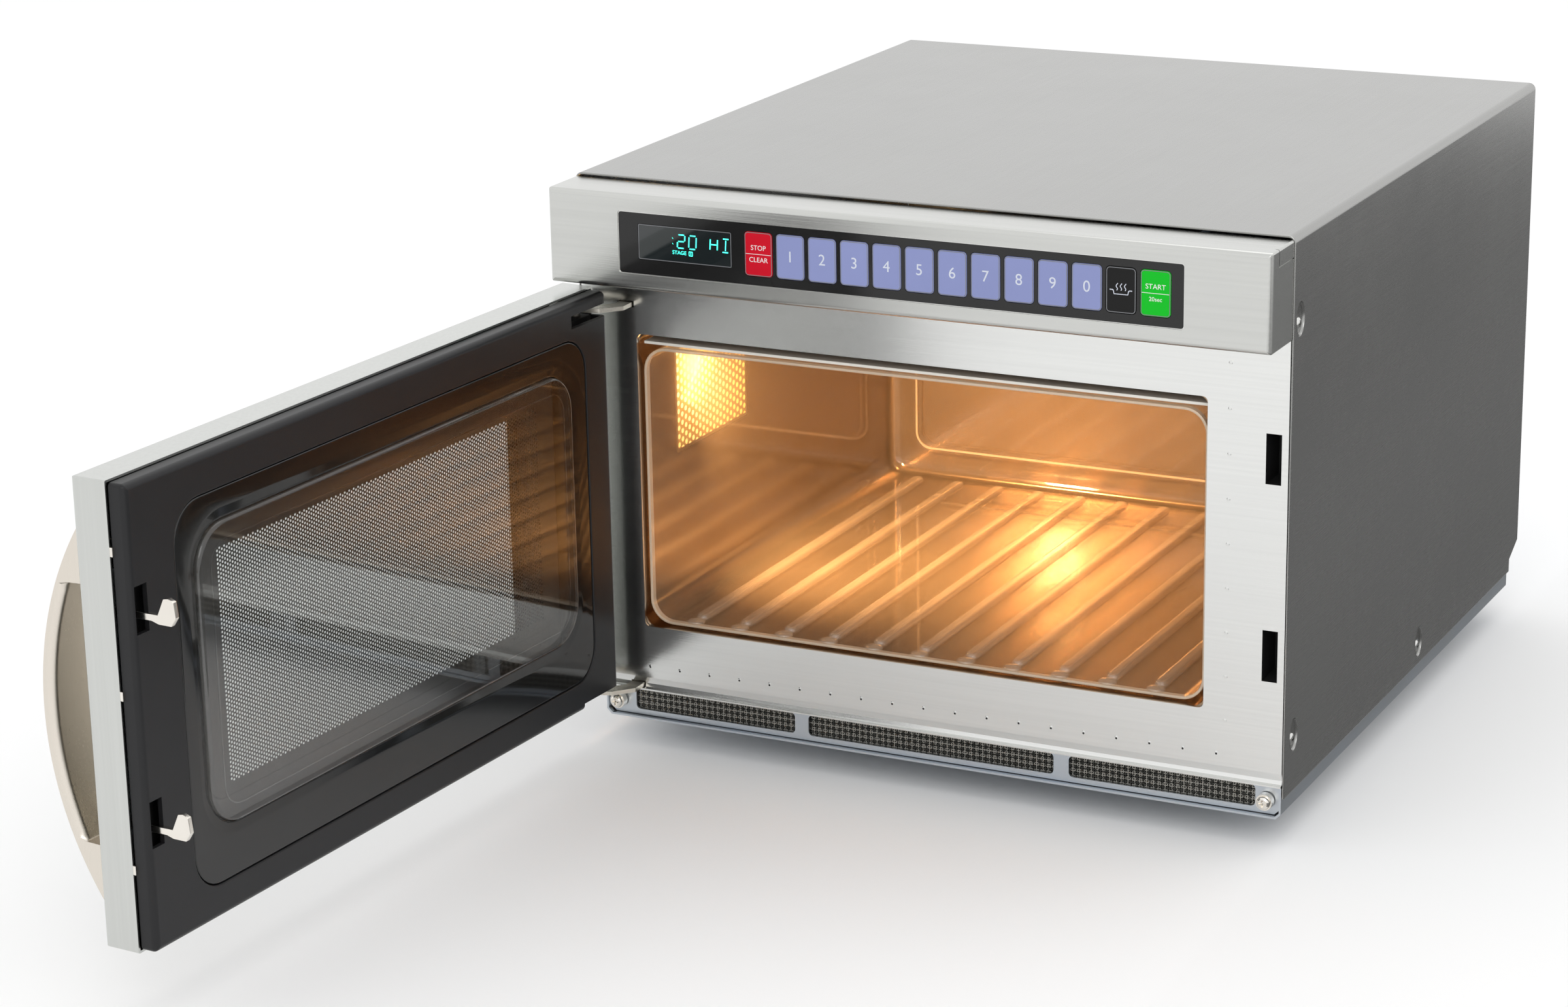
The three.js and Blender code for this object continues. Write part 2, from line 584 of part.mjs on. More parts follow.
// ---- Air filter under the front plate ----
function filterFrame() {
  const { x, z, y, windows } = FILTER;
  const outline = polygon([
    [x[0], z[1]],
    [x[0], z[0] + 3],
    [x[0] + 3, z[0]],
    [x[1] - 3, z[0]],
    [x[1], z[0] + 3],
    [x[1], z[1]],
  ]);
  const front = slab("xz", outline, [y, y + SHEET]);
  const openings = windows.map((w) => slab("xz", roundedRect(w, [4.6, 16.9], 2.5), [y - 1, y + 3]));
  const holes = [THUMB_SCREWS.left, THUMB_SCREWS.right].map((x0) =>
    rod("y", [x0, THUMB_SCREWS.z], THUMB_SCREWS.shank + 0.4, [y - 1, y + 3]),
  );
  const tray = box([26, 402], [y + 0.6, 40], [z[0], z[0] + 1]);
  return join(cut(front, ...openings, ...holes), tray);
}

const filterMesh = () => box([24, 407], [4.6, 5.4], [3, 17.5]);

function thumbScrew(x) {
  const { z, head, shank } = THUMB_SCREWS;
  const profile = [[0, -4.5], [head - 0.5, -4.5], [head, -4], [head, 2.6], [shank, 2.6], [shank, 14], [0, 14]];
  return turned("y", [x, z], profile, 16);
}

// ---- Assembly ----
const keyMaterial = (name) =>
  finish(KEY_COLOURS[name] ?? KEY_COLOURS.number, 0.25, 0);

const oven = new THREE.Group();
oven.add(
  mesh("base_pan", basePan(), ZINC),
  mesh("cabinet_cover", cabinetCover(), STAINLESS),
  mesh("rear_panel", rearPanel(), ZINC),
  mesh("front_plate", frontPlate(), FRONT_STEEL),
  mesh("control_bezel", controlBezel(), STAINLESS),
  mesh("control_panel", controlPanel(), BLACK_GLOSS),
  mesh("display_module", displayModule(), DISPLAY_GLASS),
  mesh("control_board", controlBoard(), BOARD),
  mesh("cavity_box", cavityBox(), CAVITY_STEEL),
  mesh("cavity_liner", cavityLiner(), CLEAR_LINER),
  mesh("ceiling_plate", ceilingPlate(), WHITE_PLASTIC),
  mesh("lamp_screen", lampScreen(), CAVITY_STEEL),
  mesh("lamp_bulb", lampBulb(), BULB_GLASS),
  mesh("lamp_socket", lampSocket(), CERAMIC),
  mesh("stirrer", stirrer(), CAVITY_STEEL),
  mesh("stirrer_motor", stirrerMotor(), WHITE_PLASTIC),
  mesh("waveguide", waveguide(), ZINC),
  mesh("magnetron", magnetron(), ZINC),
  mesh("power_transformer", powerTransformer(), COIL),
  mesh("capacitor", capacitor(), ZINC),
  mesh("blower_housing", blowerHousing(), BLACK_PLASTIC),
  mesh("blower_wheel", blowerWheel(), BLACK_PLASTIC),
  mesh("blower_motor", blowerMotor(), ZINC),
  mesh("cord_gland", cordGland(), BLACK_PLASTIC),
  mesh("latch_receiver", latchReceiver(), BLACK_PLASTIC),
  mesh("hinge_arm_upper", hingeArmUpper(), ZINC),
  mesh("hinge_arm_lower", hingeArmLower(), ZINC),
  mesh("air_filter_frame", filterFrame(), ZINC),
  mesh("air_filter_mesh", filterMesh(), MESH_STEEL),
  mesh("thumb_screw_left", thumbScrew(THUMB_SCREWS.left), NICKEL),
  mesh("thumb_screw_right", thumbScrew(THUMB_SCREWS.right), NICKEL),
);
FOOT.rows.forEach((y, row) =>
  FOOT.sides.forEach((x, side) =>
    oven.add(mesh(`foot_${["front", "rear"][row]}_${["left", "right"][side]}`, foot(x, y), RUBBER)),
  ),
);
KEY_NAMES.forEach((name, i) => oven.add(mesh(`key_${name}`, key(i), keyMaterial(name))));

const door = new THREE.Group();
door.add(
  mesh("door_skin", doorSkin(), FRONT_STEEL),
  mesh("door_outer_glass", doorOuterGlass(), WINDOW_GLASS),
  mesh("door_frame", doorFrame(), ZINC),
  mesh("door_screen", doorScreen(), DARK_SCREEN),
  mesh("door_inner_cover", doorInnerCover(), BLACK_COVER),
  mesh("door_window_frame", doorWindowFrame(), BLACK_GLOSS),
  mesh("door_window_glass", doorWindowGlass(), WINDOW_GLASS),
  mesh("door_handle", doorHandle(), CHAMPAGNE),
  mesh("latch_bar", latchBar(), ZINC),
  mesh("latch_hook_lower", latchHook(HOOKS.lower), NICKEL),
  mesh("latch_hook_upper", latchHook(HOOKS.upper), NICKEL),
  mesh("latch_spring", latchSpring(), NICKEL),
);
door.position.set(-HINGE.x, -HINGE.y, 0);
const swing = new THREE.Group();
swing.position.set(HINGE.x, HINGE.y, 0);
swing.rotation.z = -radians(HINGE.open);
swing.add(door);
oven.add(swing);

oven.position.set(-ORIGIN.x, -ORIGIN.y, -ORIGIN.z);

const part = new THREE.Group();
part.add(oven);
export default part;
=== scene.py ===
"""A compact microwave oven with its door open: fine pieces, finishes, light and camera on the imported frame.

Pieces are drawn in millimetres, in the cabinet's or the closed door's own coordinates: x from the
cabinet's left side, y backwards from the front plate's face, z up from the underside of the base pan.
"""

from __future__ import annotations

import json
import logging
import math
from dataclasses import dataclass, field, replace
from enum import Enum
from functools import lru_cache
from typing import Any, Iterable, Protocol, Sequence

import bmesh
import bpy
from mathutils import Matrix, Quaternion, Vector


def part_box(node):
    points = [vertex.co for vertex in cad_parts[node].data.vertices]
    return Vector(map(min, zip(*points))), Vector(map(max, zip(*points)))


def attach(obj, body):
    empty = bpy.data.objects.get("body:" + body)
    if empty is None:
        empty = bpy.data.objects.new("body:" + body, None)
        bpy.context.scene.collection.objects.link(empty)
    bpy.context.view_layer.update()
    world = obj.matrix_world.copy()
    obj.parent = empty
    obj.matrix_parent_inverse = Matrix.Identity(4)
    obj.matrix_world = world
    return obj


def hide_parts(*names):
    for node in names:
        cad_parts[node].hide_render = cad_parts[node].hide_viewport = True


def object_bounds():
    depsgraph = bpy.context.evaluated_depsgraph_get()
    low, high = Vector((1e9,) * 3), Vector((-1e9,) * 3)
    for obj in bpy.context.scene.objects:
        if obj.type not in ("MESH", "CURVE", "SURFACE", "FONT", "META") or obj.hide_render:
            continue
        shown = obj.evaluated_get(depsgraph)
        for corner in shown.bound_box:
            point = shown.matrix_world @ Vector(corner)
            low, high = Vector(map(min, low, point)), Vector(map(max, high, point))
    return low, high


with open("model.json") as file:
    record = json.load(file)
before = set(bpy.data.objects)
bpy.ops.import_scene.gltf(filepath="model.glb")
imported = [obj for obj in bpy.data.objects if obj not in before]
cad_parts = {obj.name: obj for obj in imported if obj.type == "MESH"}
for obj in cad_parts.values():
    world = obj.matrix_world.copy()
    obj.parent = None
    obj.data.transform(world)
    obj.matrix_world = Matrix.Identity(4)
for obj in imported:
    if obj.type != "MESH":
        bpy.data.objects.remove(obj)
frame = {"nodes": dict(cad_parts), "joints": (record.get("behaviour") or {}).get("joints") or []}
CAD_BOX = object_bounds()

LOG = logging.getLogger("oven")
MM = 0.001
CORNER_STEPS = 8

Span = tuple[float, float]
Colour = tuple[float, float, float]


def middle(span: Span) -> float:
    """The centre of a span."""
    return (span[0] + span[1]) / 2


def grown(span: Span, by: float) -> Span:
    """A span made longer by the same length at both ends."""
    return (span[0] - by, span[1] + by)


class Axis(Enum):
    """The directions that grain, screws and turned pieces run in."""

    X = 0
    Y = 1
    Z = 2

    @property
    def vector(self) -> Vector:
        """The unit vector along this axis."""
        return Vector([float(i == self.value) for i in range(3)])


# ---------------------------------------------------------------------------
# Shaders
# ---------------------------------------------------------------------------


class Link:
    """One output socket, on which Python's arithmetic adds Math nodes."""

    def __init__(self, shader: Shader, socket: bpy.types.NodeSocket) -> None:
        """Wraps an output socket of a shader's tree."""
        self.shader = shader
        self.socket = socket

    def _math(self, operation: str, *values: Any) -> Link:
        """One Math node on this tree."""
        return self.shader.node("ShaderNodeMath", {"operation": operation}, dict(enumerate(values)))

    def __add__(self, other: Any) -> Link:
        """The sum."""
        return self._math("ADD", self, other)

    __radd__ = __add__

    def __sub__(self, other: Any) -> Link:
        """The difference."""
        return self._math("SUBTRACT", self, other)

    def __rsub__(self, other: Any) -> Link:
        """A number less this socket."""
        return self._math("SUBTRACT", other, self)

    def __mul__(self, other: Any) -> Link:
        """The product."""
        return self._math("MULTIPLY", self, other)

    __rmul__ = __mul__

    def __truediv__(self, other: Any) -> Link:
        """The quotient."""
        return self._math("DIVIDE", self, other)

    def __rtruediv__(self, other: Any) -> Link:
        """A number over this socket."""
        return self._math("DIVIDE", other, self)

    def __pow__(self, other: Any) -> Link:
        """This socket raised to a power."""
        return self._math("POWER", self, other)

    def below(self, limit: Any) -> Link:
        """1 where the value is below the limit, and 0 elsewhere."""
        return self._math("LESS_THAN", self, limit)

    def above(self, limit: Any) -> Link:
        """1 where the value is above the limit, and 0 elsewhere."""
        return self._math("GREATER_THAN", self, limit)

    def smallest(self, other: Any) -> Link:
        """The smaller of two values."""
        return self._math("MINIMUM", self, other)

    def from_centre(self, pitch: float) -> Link:
        """How far the value is from the nearest whole multiple of the pitch."""
        return self._math("PINGPONG", self, pitch / 2)

    def root(self) -> Link:
        """The square root."""
        return self._math("SQRT", self)


class Shader:
    """One material's node tree. Every node in this file is made by its node method."""

    def __init__(self, name: str) -> None:
        """Starts an empty material.

        Args:
            name: The finish's name.
        """
        self.material = bpy.data.materials.new(name)
        self.material.use_nodes = True
        self.tree = self.material.node_tree
        self.tree.nodes.clear()

    def node(
        self, kind: str, settings: dict | None = None, inputs: dict | None = None, output: Any = 0,
    ) -> Link:  # fmt: skip
        """Adds a node.

        Args:
            kind: The node's Blender type.
            settings: Properties to set first; "stops" lists a colour ramp's (place, colour) pairs.
            inputs: Values or links for its sockets, by name or number.
            output: The socket to hand back.

        Returns:
            The chosen output, ready for arithmetic.
        """
        made = self.tree.nodes.new(kind)
        for key, value in (settings or {}).items():
            if key != "stops":
                setattr(made, key, value)
                continue
            ramp = made.color_ramp.elements
            while len(ramp) < len(value):
                ramp.new(0.5)
            for element, (place, colour) in zip(ramp, value):
                element.position = place
                element.color = (*colour, 1)
        for key, value in (inputs or {}).items():
            if isinstance(value, Link):
                self.tree.links.new(value.socket, made.inputs[key])
            else:
                made.inputs[key].default_value = value
        return Link(self, made.outputs[output]) if made.outputs else None

    def place(
        self, scale: Sequence[float] = (1, 1, 1), turn: float = 0, origin: Vector | None = None,
    ) -> Link:  # fmt: skip
        """The piece's own coordinates, moved, turned about z and then scaled.

        Args:
            scale: How much each axis is stretched.
            turn: Radians about z.
            origin: The point that becomes zero, in metres.

        Returns:
            A vector link.
        """
        at = self.node("ShaderNodeTexCoord", output="Object")
        moved = self.node("ShaderNodeMapping", {"vector_type": "POINT"}, {0: at, 1: -(origin or Vector())})
        turned = self.node("ShaderNodeMapping", {"vector_type": "POINT"}, {0: moved, 2: (0, 0, turn)})
        return self.node("ShaderNodeMapping", {"vector_type": "POINT"}, {0: turned, 3: scale})

    def split(self, vector: Link) -> tuple[Link, Link, Link]:
        """The x, y and z of a vector.

        Args:
            vector: The vector.

        Returns:
            Three links.
        """
        first = self.node("ShaderNodeSeparateXYZ", None, {0: vector})
        outputs = first.socket.node.outputs
        return first, Link(self, outputs[1]), Link(self, outputs[2])

    def noise(self, at: Link, scale: float, detail: float = 3.0) -> Link:
        """Soft noise between 0 and 1."""
        settings = {"noise_dimensions": "3D"}
        return self.node("ShaderNodeTexNoise", settings, {"Vector": at, "Scale": scale, "Detail": detail})

    def ramp(self, value: Link, stops: Sequence[tuple[float, Colour]]) -> Link:
        """A colour that follows a value."""
        return self.node("ShaderNodeValToRGB", {"stops": stops}, {0: value})

    def blend(self, factor: Link, first: Colour, second: Colour) -> Link:
        """A colour between two, by a factor."""
        inputs = {0: factor, 6: (*first, 1), 7: (*second, 1)}
        return self.node("ShaderNodeMix", {"data_type": "RGBA"}, inputs, output=2)

    def bump(self, height: Link, strength: float, distance: float) -> Link:
        """A normal tilted by a height.

        Args:
            height: The height.
            strength: How much it tilts.
            distance: The height's scale, in metres.

        Returns:
            A normal link.
        """
        inputs = {"Height": height, "Strength": strength, "Distance": distance}
        return self.node("ShaderNodeBump", None, inputs)

    def principled(self, **inputs: Any) -> Link:
        """A Principled surface; the words' underscores stand for spaces.

        Args:
            **inputs: Values or links, by socket name.

        Returns:
            The surface.
        """
        named = {key.replace("_", " "): value for key, value in inputs.items()}
        colour = named.get("Base Color")
        if isinstance(colour, tuple):
            named["Base Color"] = (*colour, 1)
        return self.node("ShaderNodeBsdfPrincipled", None, named)

    def finish(self, surface: Link) -> bpy.types.Material:
        """Joins the surface to the output and hands the material back."""
        self.node("ShaderNodeOutputMaterial", None, {0: surface})
        return self.material


class Finish(Protocol):
    """Anything that can make its own material."""

    def material(self) -> bpy.types.Material:
        """Builds the material."""
        ...


@lru_cache(maxsize=None)
def material_of(finish: Finish) -> bpy.types.Material:
    """A finish's material, made once."""
    return finish.material()


@dataclass(frozen=True)
class Brushed:
    """Metal brushed along one axis, with smudges, fine scratches and softly varying gloss."""

    name: str
    colour: Colour
    roughness: float = 0.3
    grain: Axis = Axis.X
    depth: float = 0.1
    smudge: float = 0.08
    shade: float = 0.12

    def material(self) -> bpy.types.Material:
        """Builds the material.

        Returns:
            The material.
        """
        made = Shader(self.name)
        fine = [2600.0] * 3
        fine[self.grain.value] = 16.0
        coarse = [620.0] * 3
        coarse[self.grain.value] = 5.0
        lines = made.noise(made.place(fine), 1.0, 2.0)
        bands = made.noise(made.place(coarse), 1.0, 2.0)
        clouds = made.noise(made.place(), 7.0, 4.0)
        prints = made.noise(made.place(), 38.0, 5.0)
        height = lines * 0.6 + bands * 0.4
        tone = bands * 0.5 + clouds * 0.3 + lines * 0.2
        dark = tuple(c * (1 - self.shade) for c in self.colour)
        light = tuple(min(1.0, c * (1 + self.shade)) for c in self.colour)
        rough = self.roughness + (clouds - 0.5) * self.smudge + (lines - 0.5) * 0.1 + (prints - 0.5) * 0.03
        surface = made.principled(
            Base_Color=made.blend(tone, dark, light),
            Metallic=1.0,
            Roughness=rough,
            Normal=made.bump(height, self.depth, 0.0004),
        )
        return made.finish(surface)


@dataclass(frozen=True)
class Plated:
    """Bright or zinc plating: metal with a fine orange-peel and faint cloudy tints."""

    name: str
    colour: Colour
    roughness: float = 0.25
    tint: Colour = (0.5, 0.55, 0.62)
    peel: float = 0.08
    diamonds: float = 0.0

    def material(self) -> bpy.types.Material:
        """Builds the material.

        Returns:
            The material.
        """
        made = Shader(self.name)
        clouds = made.noise(made.place(), 30.0, 4.0)
        pits = made.noise(made.place(), 900.0, 2.0)
        shade = made.blend(clouds, self.colour, self.tint)
        if self.diamonds:
            shade = self._checkered(made, clouds)
        surface = made.principled(
            Base_Color=shade,
            Metallic=1.0,
            Roughness=self.roughness + (clouds - 0.5) * 0.14,
            Normal=made.bump(pits, self.peel, 0.0004),
        )
        return made.finish(surface)

    def _checkered(self, made: Shader, clouds: Link) -> Link:
        """Diamonds of the second colour on the first, as where strands behind a weave show through.

        Args:
            made: The shader to add to.
            clouds: The noise that varies the tint.

        Returns:
            A colour link.
        """
        x, _, z = made.split(made.place([1 / MM / self.diamonds] * 3))
        across, along = (x + z).from_centre(2.0), (x - z).from_centre(2.0)
        first, second = across.below(0.5), along.below(0.5)
        odd = first + second - first * second * 2
        return made.blend(odd * (0.75 + clouds * 0.5), self.colour, self.tint)


@dataclass(frozen=True)
class Moulded:
    """Plastic, rubber or paint: a dielectric with fine grain and handling marks in its gloss."""

    name: str
    colour: Colour
    roughness: float = 0.4
    grain: float = 0.1
    grain_scale: float = 1400.0
    coat: float = 0.0
    wear: float = 0.1
    shine: float = 0.5

    def material(self) -> bpy.types.Material:
        """Builds the material.

        Returns:
            The material.
        """
        made = Shader(self.name)
        clouds = made.noise(made.place(), 16.0, 5.0)
        pebbles = made.noise(made.place(), self.grain_scale, 2.0)
        worn = tuple(c * 1.25 + 0.004 for c in self.colour)
        surface = made.principled(
            Base_Color=made.blend(clouds, self.colour, worn),
            Roughness=self.roughness + (clouds - 0.5) * self.wear,
            Specular_IOR_Level=self.shine,
            Coat_Weight=self.coat,
            Coat_Roughness=0.04,
            Normal=made.bump(pebbles, self.grain, 0.0003),
        )
        return made.finish(surface)


@dataclass(frozen=True)
class ClearSheet:
    """A clear moulded wall: seen through face on, mirror-like at grazing angles, with a faint milky share."""

    name: str
    colour: Colour
    tint: Colour
    milk: float
    mirror: float = 0.05
    roughness: float = 0.03

    def material(self) -> bpy.types.Material:
        """Builds the material.

        Returns:
            The material.
        """
        made = Shader(self.name)
        haze = made.noise(made.place(), 22.0, 4.0)
        through = made.node("ShaderNodeBsdfTransparent", None, {0: (*self.tint, 1)})
        gloss = self.roughness + haze * 0.02
        shine = made.principled(Base_Color=(1.0, 1.0, 1.0), Metallic=1.0, Roughness=gloss)
        body = made.principled(Base_Color=self.colour, Roughness=0.5)
        edge = made.node("ShaderNodeLayerWeight", None, {0: 0.5}, output="Facing")
        glint = edge**4 * 0.9 + self.mirror
        clear = made.node("ShaderNodeMixShader", None, {0: glint, 1: through, 2: shine})
        cloudy = haze * (self.milk * 0.6) + self.milk * 0.7
        return made.finish(made.node("ShaderNodeMixShader", None, {0: cloudy, 1: clear, 2: body}))


@dataclass(frozen=True)
class Perforated:
    """Sheet with round holes in staggered rows, open where the pattern is; with a glow, the holes and the sheet
    round them are painted with a lamp's light instead.

    The pattern lies across `across` and z, and `turn` brings a turned door's sheet in line with x.
    """

    name: str
    colour: Colour
    origin: tuple[float, float, float]
    field: tuple[Span, Span]
    pitch: float
    hole: float
    across: Axis = Axis.X
    turn: float = 0.0
    upright: bool = False
    metallic: float = 0.0
    roughness: float = 0.5
    # The colour of the painted lamp light; None leaves the holes open and unlit.
    glow: Colour | None = None
    glow_at: tuple[float, float] = (0.0, 0.0)
    glow_reach: float = 1.0
    strength: float = 0.0

    def material(self) -> bpy.types.Material:
        """Builds the material.

        Returns:
            The material.
        """
        made = Shader(self.name)
        at = made.place([1 / MM] * 3, self.turn, Vector(self.origin))
        parts = made.split(at)
        u, v = parts[self.across.value], parts[2]
        rise = self.pitch * math.sqrt(3)
        steps = (rise, self.pitch) if self.upright else (self.pitch, rise)

        def hole_distance(shift: float) -> Link:
            """How far a point is from the nearest hole of one set of rows.

            Args:
                shift: The rows' shift, as a share of a step.

            Returns:
                The distance, in millimetres.
            """
            du = (u + shift * steps[0]).from_centre(steps[0])
            dv = (v + shift * steps[1]).from_centre(steps[1])
            return (du * du + dv * dv).root()

        nearest = hole_distance(0.0).smallest(hole_distance(0.5))
        (u0, u1), (v0, v1) = self.field
        inside = u.above(u0) * u.below(u1) * v.above(v0) * v.below(v1)
        holes = nearest.below(self.hole) * inside
        worn = made.noise(made.place(), 60.0, 4.0)
        shades = made.blend(worn, self.colour, tuple(c * 1.5 for c in self.colour))
        common = {
            "Base_Color": shades,
            "Metallic": self.metallic,
            "Roughness": self.roughness + (worn - 0.5) * 0.1,
            "Normal": made.bump(1 - nearest.below(self.hole * 1.25), 0.3, 0.0002),
        }
        if self.glow is None:
            return made.finish(made.principled(**common, Alpha=1 - holes))
        # Painted light: the holes glow as if a lamp shone through them, and the solid sheet gets a painted pool
        # of warm light that fades away from glow_at.
        du, dv = u - self.glow_at[0], v - self.glow_at[1]
        fade = 1 / (1 + (du * du + dv * dv) / self.glow_reach**2)
        lit = holes * (0.35 + fade * 0.65) + inside * (0.10 + fade * fade * 0.8)
        amber = (self.glow[0], self.glow[1] * 0.55, self.glow[2] * 0.2)
        ember = tuple(c * 0.12 for c in amber)
        colours = made.ramp(lit, [(0.0, (0, 0, 0)), (0.1, ember), (0.5, amber), (1.0, self.glow)])
        return made.finish(made.principled(**common, Emission_Color=colours, Emission_Strength=self.strength))


@dataclass(frozen=True)
class Glowing:
    """A lit stroke or bulb."""

    name: str
    colour: Colour
    strength: float

    def material(self) -> bpy.types.Material:
        """Builds the material.

        Returns:
            The material.
        """
        made = Shader(self.name)
        flicker = made.noise(made.place(), 300.0, 2.0)
        dim = tuple(c * 0.7 for c in self.colour)
        surface = made.principled(
            Base_Color=self.colour,
            Roughness=0.3,
            Emission_Color=made.blend(flicker, dim, self.colour),
            Emission_Strength=self.strength,
        )
        return made.finish(surface)


COVER_STEEL = Brushed("cover_steel", (0.36, 0.36, 0.35), 0.27, Axis.Y, depth=0.025, shade=0.07)
PLATE_STEEL = Brushed("plate_steel", (0.74, 0.745, 0.73), 0.20, Axis.X, depth=0.06)
BEZEL_STEEL = Brushed("bezel_steel", (0.58, 0.585, 0.565), 0.22, Axis.X, depth=0.07, shade=0.14)
DOOR_STEEL = Brushed("door_steel", (0.58, 0.59, 0.57), 0.24, Axis.Z, depth=0.07)
# Painted light and shade: the cavity's steel is a dark warm brown that stands in for the lamp's warm light and
# the shade inside the box.
CAVITY_STEEL_PAINTED_WARM_SHADE = Brushed("cavity_steel", (0.33, 0.23, 0.15), 0.22, Axis.Y, depth=0.012)
CHAMPAGNE = Brushed("champagne_handle", (0.70, 0.65, 0.58), 0.30, Axis.Z, depth=0.01, shade=0.03)
ZINC = Plated("zinc_sheet", (0.55, 0.58, 0.60), 0.34)
HINGE_ZINC = Plated("hinge_zinc", (0.72, 0.69, 0.62), 0.28, (0.60, 0.56, 0.48))
NICKEL = Plated("bright_nickel", (0.86, 0.83, 0.77), 0.16, (0.74, 0.70, 0.64), peel=0.03)
SCREW_STEEL = Plated("screw_steel", (0.80, 0.80, 0.78), 0.2, (0.62, 0.62, 0.60))
WIRE = Plated("filter_wire", (0.36, 0.35, 0.32), 0.5, (0.06, 0.06, 0.055), diamonds=3.6)
FILTER_ALUMINIUM = Plated("filter_strands", (0.07, 0.07, 0.065), 0.5, (0.05, 0.05, 0.046))
BLACK_COVER = Moulded("black_cover", (0.012, 0.012, 0.013), 0.34, grain=0.15, grain_scale=2200, shine=0.25)
BLACK_GLOSS = Moulded("black_gloss", (0.004, 0.004, 0.004), 0.07, grain=0.01, wear=0.04, shine=0.6)
FASCIA_BLACK = Moulded("fascia_black", (0.008, 0.008, 0.008), 0.10, grain=0.01, wear=0.04, shine=0.4)
DARK_GAP = Moulded("dark_gap", (0.006, 0.006, 0.006), 0.7)
BLACK_PLASTIC = Moulded("black_plastic", (0.02, 0.02, 0.02), 0.5, grain=0.2)
WHITE_PLASTIC = Moulded("white_plastic", (0.72, 0.70, 0.64), 0.5, grain=0.1)
CERAMIC = Moulded("lamp_ceramic", (0.75, 0.73, 0.68), 0.65, grain=0.2)
RUBBER = Moulded("foot_rubber", (0.018, 0.018, 0.018), 0.8, grain=0.4, grain_scale=900)
BOARD = Moulded("circuit_board", (0.02, 0.11, 0.05), 0.45, grain=0.3, grain_scale=500)
IRON = Moulded("transformer_varnish", (0.14, 0.05, 0.025), 0.4, grain=0.3, grain_scale=600)
LINE_GREY = Moulded("printed_line", (0.16, 0.165, 0.175), 0.45, grain=0.0)
LEGEND = Moulded("printed_legend", (0.55, 0.58, 0.66), 0.45, grain=0.0)
LEGEND_WHITE = Moulded("printed_legend_light", (0.72, 0.70, 0.70), 0.45, grain=0.0)
KEY_BLUE = Moulded("key_blue", (0.22, 0.25, 0.46), 0.4, grain=0.03, wear=0.06, shine=0.15)
KEY_RED = Moulded("key_red", (0.50, 0.002, 0.015), 0.4, grain=0.03, wear=0.06, shine=0.15)
KEY_GREEN = Moulded("key_green", (0.002, 0.42, 0.015), 0.4, grain=0.03, wear=0.06, shine=0.15)
KEY_BLACK = Moulded("key_black", (0.008, 0.008, 0.008), 0.3, grain=0.03, wear=0.06, shine=0.15)
LINER_CLEAR = ClearSheet("liner_clear", (0.75, 0.58, 0.40), (0.97, 0.94, 0.90), 0.10, 0.05, 0.05)
RIB_CLEAR = ClearSheet("liner_rib", (0.85, 0.70, 0.54), (0.97, 0.94, 0.90), 0.20, 0.08, 0.04)
RIM_CLEAR = ClearSheet("liner_rim_milk", (0.95, 0.84, 0.70), (0.97, 0.94, 0.90), 0.55, 0.10, 0.06)
PANE_CLEAR = ClearSheet("pane_clear", (0.02, 0.018, 0.016), (0.92, 0.92, 0.91), 0.05, 0.07, 0.015)
OUTER_GLASS = ClearSheet("outer_glass", (0.02, 0.022, 0.021), (0.94, 0.96, 0.95), 0.03, 0.05, 0.015)
DISPLAY_GLASS = Moulded("display_glass", (0.004, 0.008, 0.009), 0.07, grain=0.0, coat=0.8, wear=0.03)
DIGITS = Glowing("display_digits", (0.05, 0.95, 0.72), 2.6)
BULB = Glowing("lamp_bulb_light", (1.0, 0.62, 0.24), 4.0)


# ---------------------------------------------------------------------------
# Shapes
# ---------------------------------------------------------------------------


@dataclass(frozen=True)
class Space:
    """Millimetre coordinates fixed to one part of the oven, and the way from them to the frame."""

    to_frame: Matrix

    def span(self, node: str) -> tuple[Vector, Vector]:
        """A CAD node's lowest and highest corner in these coordinates.

        Args:
            node: The CAD node's name.

        Returns:
            The two corners, in millimetres.
        """
        back = self.to_frame.inverted()
        places = [back @ v.co for v in frame["nodes"][node].data.vertices]
        low = Vector([min(p[i] for p in places) for i in range(3)])
        high = Vector([max(p[i] for p in places) for i in range(3)])
        return low, high

    def spans(self, node: str) -> tuple[Span, Span, Span]:
        """A CAD node's x, y and z spans in these coordinates."""
        low, high = self.span(node)
        return tuple((low[i], high[i]) for i in range(3))


def _cabinet_space() -> Space:
    """The cabinet's own millimetres, from its lower left front corner."""
    corner = Vector((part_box("cabinet_cover")[0].x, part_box("cabinet_cover")[0].y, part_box("base_pan")[0].z))
    return Space(Matrix.Translation(corner) @ Matrix.Scale(MM, 4))


def _door_space(cabinet: Space) -> tuple[Space, float]:
    """The closed door's millimetres, turned with the door as the frame stores it.

    Args:
        cabinet: The cabinet's space.

    Returns:
        The space, and the stored door's turn in radians.
    """
    hinge = next(j for j in frame["joints"] if j["name"] == "door_hinge")
    closed = math.radians(min(hinge["range_deg"]))
    pin = Matrix.Translation(Vector(hinge["pos_m"]))
    swing = pin @ Matrix.Rotation(-closed, 4, Vector(hinge["axis"])) @ pin.inverted()
    return Space(swing @ cabinet.to_frame), closed


CABINET = _cabinet_space()
DOOR, DOOR_TURN = _door_space(CABINET)


